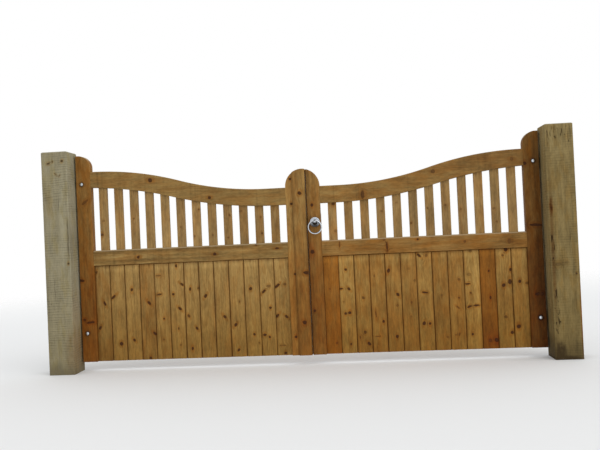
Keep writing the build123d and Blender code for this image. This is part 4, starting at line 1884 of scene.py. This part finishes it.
@dataclass(frozen=True)
class Bolts:
    """Domed coach bolt with its washer and nut, and the two screws in a band.

    Rows hold a radius, a distance behind the band and the painted shade there.
    """

    side: Side
    level: str
    height: float
    head: float = 11.0
    proud: float = 5.5
    screw: float = 7.0
    screw_proud: float = 3.5
    pitch: float = 125.0
    washer: tuple[Triple, ...] = ((0, 0, 0), (12, 0, 0.6), (12, 1.4, 0.3), (11.4, 2, 0), (0, 2, 0.4))
    nut: tuple[Triple, ...] = (
        (0, 2, 0.5), (9.4, 2, 0.5), (9.4, 8.6, 0), (8.3, 9.4, 0),
        (5.6, 9.4, 0.4), (5.3, 8.2, 0.9), (0, 8.2, 0.9),
    )
    tip: tuple[Triple, ...] = ((0, 2, 0.4), (4.8, 2, 0.4), (4.8, 9.4, 0.1), (4.2, 10, 0), (0, 10, 0))

    def dome(self, radius: float, seat: float, rise: float) -> list[Triple]:
        """Rows of an upturned dome sunk a millimetre into its seat.

        At a turn t, y = seat + rise sin t at radius cos^0.8 t, with painted shade 2.1 - 2 t, dark at the
        foot.

        Args:
            radius: the dome's radius at its seat.
            seat: Y of the face that it sits on.
            rise: height of the dome, less than nought towards the road.

        Returns:
            Rows of radius, Y and painted shade.
        """
        turn = np.linspace(0.0, math.pi / 2, 9)[:-1]
        # Painted shadow: a dark ring round the foot of each dome.
        soot = np.clip(2.1 - turn * 2.0, 0.0, 1.0)
        rows = zip(radius * np.cos(turn) ** 0.8, seat + rise * np.sin(turn), soot)
        sunk = seat - math.copysign(1.0, rise)
        return [(0.0, sunk, 1.0), (radius, sunk, 1.0), *rows, (0.0, seat + rise, 0.0)]

    def build(self) -> Piece:
        """Make the fixings as one piece.

        Returns:
            The dressed piece.
        """
        s, back, z = self.side.value, PLAN.band_back, PLAN.z(self.height)
        centre = (PLAN.x(s, PLAN.bolt_reach), z)
        patches = [revolve(self.dome(self.head, PLAN.front, -self.proud), centre, 36)]
        for rows, segments, flats in ((self.washer, 32, 0), (self.nut, 48, 6), (self.tip, 24, 0)):
            behind = [(radius, back + away, soot) for radius, away, soot in rows]
            patches.append(revolve(behind, centre, segments, flats=flats))
        for index in (1, 2):
            place = (PLAN.x(s, PLAN.bolt_reach - index * self.pitch), z)
            patches.append(revolve(self.dome(self.screw, back, self.screw_proud), place, 24))
        node = self.side.node(f"{self.level}_bolts")
        return put(make_piece(f"dressed_{node}", patches, 50.0), BRIGHT_ZINC, self.side.body, node)


@dataclass(frozen=True)
class RingLatch:
    """Turned rose on the right meeting stile and the ring that hangs from its hub.

    Rows hold a radius, Y and the grime and painted shade there; the rose has two grooves and a rolled
    rim.
    """

    ring_radius: float = 36.5
    bar: float = 4.5
    drop: float = 29.0
    standoff: float = 22.0
    # painted shade added under the axis of the rose and hub
    under_grime: float = 0.9
    rose_rows: tuple[Triple, ...] = (
        (0, 30.0, 0.5), (28, 30.0, 0.9), (28, 28.6, 0.8), (27.4, 27.4, 0.2),
        (25.8, 26.7, 0.0), (24.0, 26.9, 0.0), (23.2, 28.2, 0.5), (22.0, 28.2, 0.5),
        (21.2, 26.6, 0.0), (18.6, 26.1, 0.0), (16.4, 26.3, 0.1), (15.6, 27.6, 0.6),
        (14.6, 27.6, 0.6), (13.8, 26.4, 0.4), (12.0, 26.1, 0.8), (0, 26.1, 1.0),
    )
    hub_rows: tuple[Triple, ...] = (
        (0, 25.6, 1.0), (10.9, 25.6, 1.0), (10.9, 22.8, 0.6), (9.6, 21.6, 1.0),
        (7.6, 20.4, 1.0), (7.4, 17.6, 1.0), (8.8, 15.8, 1.0), (10.4, 13.6, 0.8),
        (10.9, 10.8, 0.6), (10.9, 6.4, 0.5), (10.2, 4.4, 0.5), (8.2, 3.2, 0.8),
        (7.4, 3.0, 0.9), (6.6, 2.5, 0.4), (3.6, 2.25, 0.2), (0, 2.2, 0.0),
    )

    def build(self) -> list[Piece]:
        """Make the rose and the ring, each in place of its node.

        Returns:
            The two dressed pieces.
        """
        x, z = PLAN.x(1, PLAN.ring_reach), PLAN.z(PLAN.ring_h)
        rose = revolve(self.rose_rows, (x, z), 64, below=self.under_grime)
        hub = revolve(self.hub_rows, (x, z), 40, below=self.under_grime)
        ring = torus((x, PLAN.front - self.standoff, z - self.drop), self.ring_radius, self.bar)
        plate = make_piece("dressed_ring_rose", [rose], 40.0)
        handle = make_piece("dressed_ring_handle", [hub, ring], 45.0)
        return [
            put(plate, BRIGHT_ZINC, "right_leaf", "ring_rose"),
            put(handle, BRIGHT_ZINC, "ring", "ring_handle"),
        ]


@dataclass(frozen=True)
class Softening:
    """How a metal node of the frame is finished; the width and the gap are in mm."""

    width: float = 1.0
    segments: int = 2
    angle: float = 40.0
    gap: float = 0.01

    def build(self, node: Piece) -> None:
        """Join the node's loose triangles, round its arrises and galvanise it.

        Args:
            node: a node's mesh that no new piece stands for.
        """
        weld = node.modifiers.new("joined_faces", "WELD")
        weld.merge_threshold = self.gap * MM
        bevel = node.modifiers.new("soft_arris", "BEVEL")
        bevel.width, bevel.segments = self.width * MM, self.segments
        bevel.limit_method, bevel.angle_limit = "ANGLE", math.radians(self.angle)
        GALVANISED.dress(node)
        LOG.info("galvanised finish on %s", node.name)


@dataclass(frozen=True)
class Camera:
    """Where the photograph was taken from, in metres and degrees."""

    place: Triple = (1.712, -3.976, 0.7425)
    yaw: float = -4.58
    pitch: float = 0.75
    roll: float = -2.63
    lens: float = 42.18
    sensor: float = 36.0

    def build(self) -> Piece:
        """Make the camera and set it as the scene's own.

        The view direction is (sin yaw cos pitch, cos yaw cos pitch, sin pitch); the level
        right-hand and up directions are then turned by the roll about it.

        Returns:
            The camera.
        """
        yaw, pitch, roll = (math.radians(v) for v in (self.yaw, self.pitch, self.roll))
        flat = math.cos(pitch)
        ahead = np.array([math.sin(yaw) * flat, math.cos(yaw) * flat, math.sin(pitch)])
        level = np.array([math.cos(yaw), -math.sin(yaw), 0.0])
        above = np.cross(level, ahead)
        right = level * math.cos(roll) + above * math.sin(roll)
        up = above * math.cos(roll) - level * math.sin(roll)
        data = bpy.data.cameras.new("road_view")
        data.lens, data.sensor_width = self.lens, self.sensor
        data.clip_start, data.clip_end = 0.05, 100.0
        camera = linked("road_view", data)
        turn = np.stack([right, up, -ahead], axis=1)
        camera.matrix_world = Matrix.Translation(self.place) @ Matrix(turn.tolist()).to_4x4()
        bpy.context.scene.camera = camera
        return camera


@dataclass(frozen=True)
class Studio:
    """Plain pale floor, white surroundings, a soft sky and a broad soft sun.

    Angles are in degrees, the floor's reach in metres and colours linear.
    """

    ambient: float = 0.89
    overhead: float = 1.1
    sky_tone: Colour = (0.975, 0.99, 1.0)
    sun: float = 0.66
    sun_tone: Colour = (1.0, 0.99, 0.97)
    sun_angle: float = 60.0
    sun_height: float = 42.0
    sun_turn: float = 52.0
    floor_tone: Colour = (0.8, 0.8, 0.8)
    floor_reach: float = 9.0

    def sky(self) -> None:
        """White to the camera; a sky brighter overhead for the light on the gates."""
        world = bpy.data.worlds.new("studio")
        world.use_nodes = True
        g = Graph(world.node_tree)
        path = g.node("ShaderNodeLightPath").outputs
        seen = g.math("MAXIMUM", path["Is Camera Ray"], path["Is Transmission Ray"])
        _, _, z = g.part(g.node("ShaderNodeTexCoord").outputs["Generated"])
        strength = g.step(z, -0.1, 0.9, self.ambient, self.ambient * self.overhead)
        soft = g.node("ShaderNodeBackground", {"Color": rgba(self.sky_tone), "Strength": strength})
        white = g.node("ShaderNodeBackground", {"Color": rgba((1.0, 1.0, 1.0)), "Strength": 1.0})
        both = g.node("ShaderNodeMixShader", {0: seen, 1: soft.outputs[0], 2: white.outputs[0]})
        g.close(both, "World")
        bpy.context.scene.world = world

    def lamp(self) -> None:
        """Make the soft sun."""
        lamp = bpy.data.lights.new("soft_sun", "SUN")
        lamp.energy, lamp.angle, lamp.color = self.sun, math.radians(self.sun_angle), self.sun_tone
        height, turn = math.radians(self.sun_height), math.radians(self.sun_turn)
        flat = math.cos(height)
        toward = np.array([math.sin(turn) * flat, -math.cos(turn) * flat, math.sin(height)])
        side = np.cross((0.0, 0.0, 1.0), toward)
        side /= np.linalg.norm(side)
        axes = np.stack([side, np.cross(toward, side), toward], axis=1)
        linked("soft_sun", lamp).matrix_world = Matrix(axes.tolist()).to_4x4()

    def floor(self) -> None:
        """Make the floor, which fades out before its edge."""
        reach, x = self.floor_reach, PLAN.centre_x * MM
        ways = ((-1, -1), (1, -1), (1, 1), (-1, 1))
        corners = [(x + across * reach, along * reach, 0) for across, along in ways]
        mesh = bpy.data.meshes.new("floor")
        mesh.from_pydata(corners, [], [(0, 1, 2, 3)])
        piece = linked("floor", mesh)
        made = bpy.data.materials.new("pale_floor")
        made.use_nodes = True
        g = Graph(made.node_tree)
        place = g.node("ShaderNodeTexCoord").outputs["Object"]
        fade = g.step(g.vector("DISTANCE", place, (x, 0.0, 0.0)), reach * 0.35, reach * 0.92)
        plain = g.node("ShaderNodeBsdfDiffuse", {"Color": rgba(self.floor_tone)})
        clear = g.node("ShaderNodeBsdfTransparent")
        g.close(g.node("ShaderNodeMixShader", {0: fade, 1: plain.outputs[0], 2: clear.outputs[0]}))
        mesh.materials.append(made)

    def build(self) -> None:
        """Make the sky, the sun and the floor."""
        self.sky()
        self.lamp()
        self.floor()


K = Knot  # short, for the tables of knots placed one by one

LEFT_BOARDS = (
    Board(-0.02, 0.2, (
        K(-36, 522, 7, 0.6, -20, 0.7), K(6, 337, 11, 0.5, 25), K(-27, 195, 10, 0.55, -30),
    )),
    Board(0.1, 0.0, (K(-28, 373, 13, 0.42, -48), K(8, 98, 7.5, 1.2))),
    Board(0.13, -0.05, (K(-5, 411, 8, 0.7), K(-1, 117, 8, 0.75, 40))),
    Board(0.0, 0.32, (K(8, 330, 10, 0.6, 40), K(34, 151, 9, 0.6, 45), K(4, 10, 6))),
    Board(0.12, 0.05, (
        K(-19, 487, 4.5, 2.6, dark=0.6), K(-19, 377, 4.5, 3.0, 8, 0.9), K(4, 235, 4.5),
        K(-3, 114, 5, dark=0.5),
    )),
    Board(0.1, 0.0, (
        K(1, 540, 8, 0.6), K(30, 431, 10, 0.5, 50), K(-23, 375, 6), K(13, 290, 10, 0.6, 45),
        K(0, 175, 6, 0.6, dark=0.8), K(8, 79, 5, dark=0.5),
    )),
    Board(0.13, -0.05, (
        K(-10, 402, 8, 0.65, -10), K(-25, 246, 8, 0.7, 30, 0.8), K(21, 172, 8, 0.65, 30),
        K(-10, 57, 8, 0.7), K(37, 405, 5, dark=0.6),
    )),
    Board(0.1, 0.0, (K(-9, 358, 10, 0.6, -35),)),
    Board(0.1, 0.05, (K(10, 233, 10, 0.6, 35),)),
    Board(0.1, 0.05, (K(12, 317, 6, 0.6, dark=0.6), K(-15, 185, 9, 0.7, -40), K(-4, 40, 8, 0.7, -20))),
    Board(0.14, -0.05, (K(-8, 390, 7), K(3, 126, 6), K(29, 77, 4, dark=0.5))),
    Board(0.16, -0.05, (
        K(-20, 371, 12, 0.45, -45), K(9, 400, 6, 1.6, dark=0.5), K(14, 276, 6), K(-25, 122, 6, 1.3),
        K(3, 108, 6, 0.8),
    )),
    Board(0.12, 0.08, (
        K(-29, 400, 14, 0.45, -55), K(15, 408, 6, 1.3, dark=0.6), K(-35, 228, 10, 0.6, -40),
        K(17, 222, 9, 0.6, 45), K(3, 13, 6), K(-12, 57, 3, 5.5, dark=0.5),
    )),
)
RIGHT_BOARDS = (
    Board(0.17, 0.7, (K(-10, 370, 5, dark=0.4), K(15, 60, 5, dark=0.5))),
    Board(0.25, -0.15, (
        K(-4, 477, 6), K(-36, 369, 4, 2.6), K(10, 366, 8, 0.7, 40), K(-15, 227, 6), K(9, 230, 7),
        K(-24, 294, 4, dark=0.4), K(8, 52, 6, 0.6),
    )),
    Board(0.1, 0.0, (
        K(1, 312, 7, dark=0.7), K(4, 116, 7, 0.9, dark=0.7), K(23, 50, 9, 0.7, 40),
        K(-27, 88, 7, 0.35, dark=0.8),
    )),
    Board(0.12, 0.1, (
        K(-19, 436, 7, 0.5, dark=0.5), K(-20, 217, 14, 0.22, 8, 0.6), K(22, 174, 7, 0.8),
        K(-15, 90, 2.5, 5.0, dark=0.6),
    )),
    Board(0.12, 0.0, (
        K(-26, 461, 10, 0.65, -20), K(21, 323, 9, 0.7, 30), K(16, 261, 6, dark=0.5), K(7, 86, 7.5, 0.9),
    )),
    Board(0.04, 0.0, (
        K(1, 467, 6, dark=0.3), K(31, 400, 6, dark=0.5), K(8, 277, 6, 0.7, dark=0.5),
        K(3, 198, 5, dark=0.3),
    )),
    Board(0.16, -0.1, (
        K(-26, 539, 11, 0.5, 45), K(14, 538, 6, dark=0.5), K(-2, 329, 4, 3.4, -8),
        K(-15, 155, 9, 0.8, -20), K(18, 152, 6),
    )),
    Board(0.04, 0.1, (K(4, 311, 6, dark=0.35), K(25, 74, 6, dark=0.4))),
    Board(0.1, 0.1, (
        K(14, 395, 6, dark=0.6), K(10, 292, 4, dark=0.8), K(2, 238, 9, 0.4, 50, 0.6),
        K(3, 88, 8, 0.5, -20, 0.6), K(-17, 84, 4, dark=0.5),
    )),
    Board(0.2, -0.2, (
        K(-4, 552, 7, dark=0.5), K(-16, 421, 8, 1.2, dark=0.4), K(-27, 368, 4, 3.0),
        K(-12, 317, 4, dark=0.7), K(-21, 241, 4.5, 2.6, 20), K(16, 246, 4.5, 3.2), K(-12, 85, 5.5),
    ), (Stain(18, 250, 14, 330, pale=0.35),)),
    Board(-0.06, 0.8, (
        K(5, 436, 5, 0.7), K(8, 287, 8, 0.6), K(31, 48, 9), K(-4, 46, 8, dark=0.5),
    ), (Stain(14, 50, 40, 60, orange=0.4),)),
    Board(0.1, -0.1, (
        K(16, 552, 9), K(-2, 521, 5.5, dark=0.7), K(-4, 353, 8), K(36, 439, 7, 0.7), K(31, 371, 11, 0.8),
        K(0, 175, 7, dark=0.6), K(30, 87, 8, 0.9, -30),
    )),
    Board(0.12, -0.1, (K(-3, 371, 7), K(36, 360, 6, 1.3, dark=0.6), K(-20, 119, 9))),
)


def bolt_grime(side: int) -> tuple[Stain, ...]:
    """Painted shadow: dark round the two bolt heads of a leaf.

    Args:
        side: -1 for the left leaf and 1 for the right.

    Returns:
        The two stains.
    """
    x = PLAN.x(side, PLAN.bolt_reach)
    heights = (PLAN.upper_band_h, PLAN.lower_band_h)
    return tuple(Stain(x, PLAN.z(height), 18, 18, dark=0.75) for height in heights)


def left_frame() -> Frame:
    """Stiles and rails of the left leaf, with the marks seen on them."""
    x, z = partial(PLAN.x, -1), PLAN.z
    small = ((68, 1009), (66, 866), (62, 464), (74, 106))
    return Frame(
        side=Side.LEFT,
        meet_edge=-16.0,
        seed=110,
        splay=2.7,
        hanging=Member(
            tint=(-0.08, 0.65, 0.5),
            knots=(
                K(x(1280), 987, 6, 3.2, 38, 0.5), K(x(1318), 529, 6, 2.2, -8),
                K(x(1310), 299, 5.5, 1.5, -25, 0.9), K(x(1275), 283, 5, 4.0, 6, 0.9),
            ),
            stains=bolt_grime(-1),
        ),
        meeting=Member(
            tint=(0.2, 0.22, 0.3),
            knots=tuple(K(x(reach), z(height), 6) for reach, height in small),
            # The dark band at 60, beside the cover strip's edge, is painted shadow.
            stains=(Stain(x(60), z(600), 5, 1300, dark=0.3),),
        ),
        top=Member(
            tint=(-0.15, 0.14, 0.6),
            knots=(K(z(1044), x(885), 9.5, 1.1), K(z(925), x(539), 7)),
        ),
        mid=Member(
            tint=(-0.13, 0.15, 0.6),
            knots=(
                K(z(600), x(974), 7.5), K(z(599), x(523), 7.5), K(z(616), x(159), 9, 0.5),
                K(z(642), x(280), 5),
            ),
            stains=(
                Stain(z(640), x(700), 14, 700, dark=0.38), Stain(z(582), x(800), 7, 420, dark=0.3),
                Stain(z(606), x(1020), 13, 170, pale=0.45), Stain(z(612), x(330), 9, 190, pale=0.3),
            ),
        ),
    )


def right_frame() -> Frame:
    """Stiles and rails of the right leaf, with the marks seen on them."""
    x, z = partial(PLAN.x, 1), PLAN.z
    return Frame(
        side=Side.RIGHT,
        meet_edge=24.0,
        seed=210,
        ridge=3.9,
        hanging=Member(
            tint=(-0.36, 0.8, 0.6),
            knots=(
                K(x(1249), z(1028), 8), K(x(1296), 734, 6, 5.0, -4), K(x(1288), 350, 7, 1.8),
                K(x(1308), z(298), 8, 1.3),
            ),
            stains=(
                *bolt_grime(1), Stain(x(1318), 500, 34, 900, dark=0.35),
                Stain(x(1285), 250, 90, 420, dark=0.15),
            ),
        ),
        meeting=Member(
            tint=(-0.07, 0.5, 0.5),
            knots=(K(x(51), z(854), 7), K(x(42), z(587), 9), K(x(40), z(252), 6)),
            stains=(
                # Painted shade round the ring latch.
                Stain(x(PLAN.ring_reach), z(PLAN.ring_h), 34, 36, dark=0.45),
                # The dark band at 32 is the cover strip's painted shadow; the orange patch is staining
                # round a knot.
                Stain(x(40), z(587), 24, 60, orange=0.4), Stain(x(32), z(600), 8, 1300, dark=0.3),
                # Painted light inside the joint, lightening its shade.
                Stain(x(20), z(600), 3.2, 1300, pale=1.0),
            ),
        ),
        top=Member(
            tint=(-0.12, 0.32, 0.6),
            knots=(
                K(z(900), x(342), 8, 2.5, 0, 0.7), K(z(1010), x(742), 9, dark=0.6),
                K(z(1056), x(1179), 8, dark=0.5),
            ),
            stains=(
                Stain(z(1060), x(1120), 130, 330, dark=0.22, orange=0.1),
                # Painted sheen: a paler patch near the meeting end of the rail.
                Stain(z(910), x(230), 60, 150, pale=0.15),
            ),
        ),
        mid=Member(
            tint=(-0.08, 0.56, 0.3),
            knots=(
                K(z(598), x(466), 3.2, 7.0), K(z(640), x(450), 7, 0.8, 30, 0.4),
                K(z(620), x(198), 2.2, 7.0, dark=0.7), K(z(631), x(639), 5),
                K(z(608), x(900), 6, dark=0.6), K(z(599), x(1144), 7, 1.6, dark=0.5),
            ),
        ),
    )


def left_post() -> Post:
    """The pale left post, with the marks seen on it."""
    marks = Member(
        knots=(
            K(-32, 1213, 4, 2.0, 15, 0.9), K(-8, 1222, 3.5, dark=0.9), K(48, 1224, 5, 1.2, -20),
            K(8, 1150, 2.5, 3.0, -40, 0.6), K(30, 1140, 2.5, 2.6, 60, 0.6), K(63, 636, 4.5),
        ),
        stains=(
            Stain(60, 120, 30, 140, orange=0.25, dark=0.1), Stain(-70, 640, 12, 640, dark=0.12),
            # The two patches at 77 across pale the side face towards the opening: painted light, the
            # lower one with a little orange staining.
            Stain(67, 760, 9, 130, dark=0.38), Stain(77, 800, 5, 520, pale=0.6),
            Stain(77, 230, 5, 260, orange=0.2, pale=0.3), Stain(38, 900, 18, 330, pale=0.2),
            Stain(-40, 980, 26, 90, dark=0.1, orange=0.1),
        ),
        cracks=(
            Crack(66, 650, 900, 1.6, 0.004, 1.0), Crack(67, 120, 250, 1.0, 0.0, 0.8),
            Crack(-22, 420, 560, 0.7), Crack(18, 930, 1010, 0.7),
        ),
    )
    return Post("left_post", 0.0, LEFT_POST_TIMBER, marks, seed=301)


def right_post() -> Post:
    """The olive right post, checked at its top and damp at its foot."""
    x = PLAN.x(1, PLAN.centre_x)
    tops = (-64, -55, -46, -35, -24, -13, -3, 7, 17, 27, 37, 47, 58)
    ends = (1150, 1190, 1165, 1205, 1172, 1190, 1210, 1160, 1200, 1150, 1186, 1142, 1180)
    checks = [Crack(x + a, low, low + 80 + (a % 7) * 7, 0.65, 0.02, 1.6) for a, low in zip(tops, ends)]
    marks = Member(
        tint=(0.0, 0.0, 0.6),
        knots=(K(x - 36, 516, 8, 1.6, dark=0.35), K(x + 10, 526, 7, dark=0.3), K(x + 57, 463, 3.5)),
        stains=(
            Stain(x - 61, 831, 11, 46, dark=0.5, orange=0.9),
            Stain(x - 63, 560, 9, 260, dark=0.25, orange=0.4),
            # The pale patch at x - 78 lies on the side face towards the opening: painted light.
            Stain(x - 60, 640, 10, 640, dark=0.3, orange=0.1), Stain(x - 78, 700, 5, 560, pale=0.4),
            Stain(x - 30, 518, 40, 20, dark=0.25), Stain(x + 71, 200, 5, 230, orange=0.9, dark=0.2),
            Stain(x, 1240, 90, 150, pale=0.4), Stain(x + 30, 1200, 44, 60, dark=0.15),
            Stain(x + 30, 40, 50, 50, dark=0.2), Stain(x - 44, 44, 28, 50, dark=1.0),
            Stain(x - 10, 6, 90, 16, dark=0.9), Stain(x - 70, 60, 22, 70, dark=0.3),
        ),
        cracks=(
            *checks, Crack(x - 60, 470, 790, 1.3, 0.0, 3.0), Crack(x - 60, 140, 430, 1.2, 0.02, 3.0),
            Crack(x - 44, 190, 330, 1.2, -0.08, 3.0), Crack(x - 52, 60, 250, 1.0, 0.03, 3.0),
            Crack(x + 34, 620, 700, 0.7),
        ),
    )
    return Post("right_post", x, RIGHT_POST_TIMBER, marks, seed=302)


def cover_strip() -> CoverStrip:
    """The cover strip, with the marks seen on it."""
    x, z = partial(PLAN.x, 1), PLAN.z
    marks = Member(
        tint=(-0.02, 0.35, 0.5),
        knots=(K(x(-16), z(925), 8, 1.3, -30), K(x(4), z(470), 7, 2.2, -10), K(x(-20), z(189), 8, 1.2)),
        stains=(
            # The dark band at -54 is painted shade along the strip's edge beside the left stile.
            Stain(x(-22), z(440), 30, 16, pale=0.3), Stain(x(-54), z(600), 6, 1300, dark=0.3),
            # Along the strip's edge over the joint: painted shade lower down, a painted highlight near
            # the head.
            Stain(x(14), z(460), 4, 560, dark=0.35), Stain(x(11), z(1080), 4, 150, pale=0.3),
        ),
    )
    return CoverStrip(marks)


def main() -> None:
    """Build the gates piece by piece, then light and frame them."""
    logging.basicConfig(level=logging.INFO, format="%(name)s: %(message)s")
    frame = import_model()
    bpy.context.scene.view_settings.view_transform = "Standard"
    for post in (left_post(), right_post()):
        post.build()
    for leaf in (left_frame(), right_frame()):
        leaf.build()
    panels = ((Side.LEFT, LEFT_BOARDS, 400, 0.0), (Side.RIGHT, RIGHT_BOARDS, 500, 0.3))
    for side, boards, seed, warmer in panels:
        Boarding(side, boards, seed, warmer).build()
        Pickets(side, seed + 50).build()
        for level, height in (("upper", PLAN.upper_band_h), ("lower", PLAN.lower_band_h)):
            Bolts(side, level, height).build()
    cover_strip().build()
    RingLatch().build()
    for node in frame["nodes"].values():
        if not node.hide_render:
            Softening().build(node)
    Studio().build()
    Camera().build()


if __name__ == "__main__":
    main()
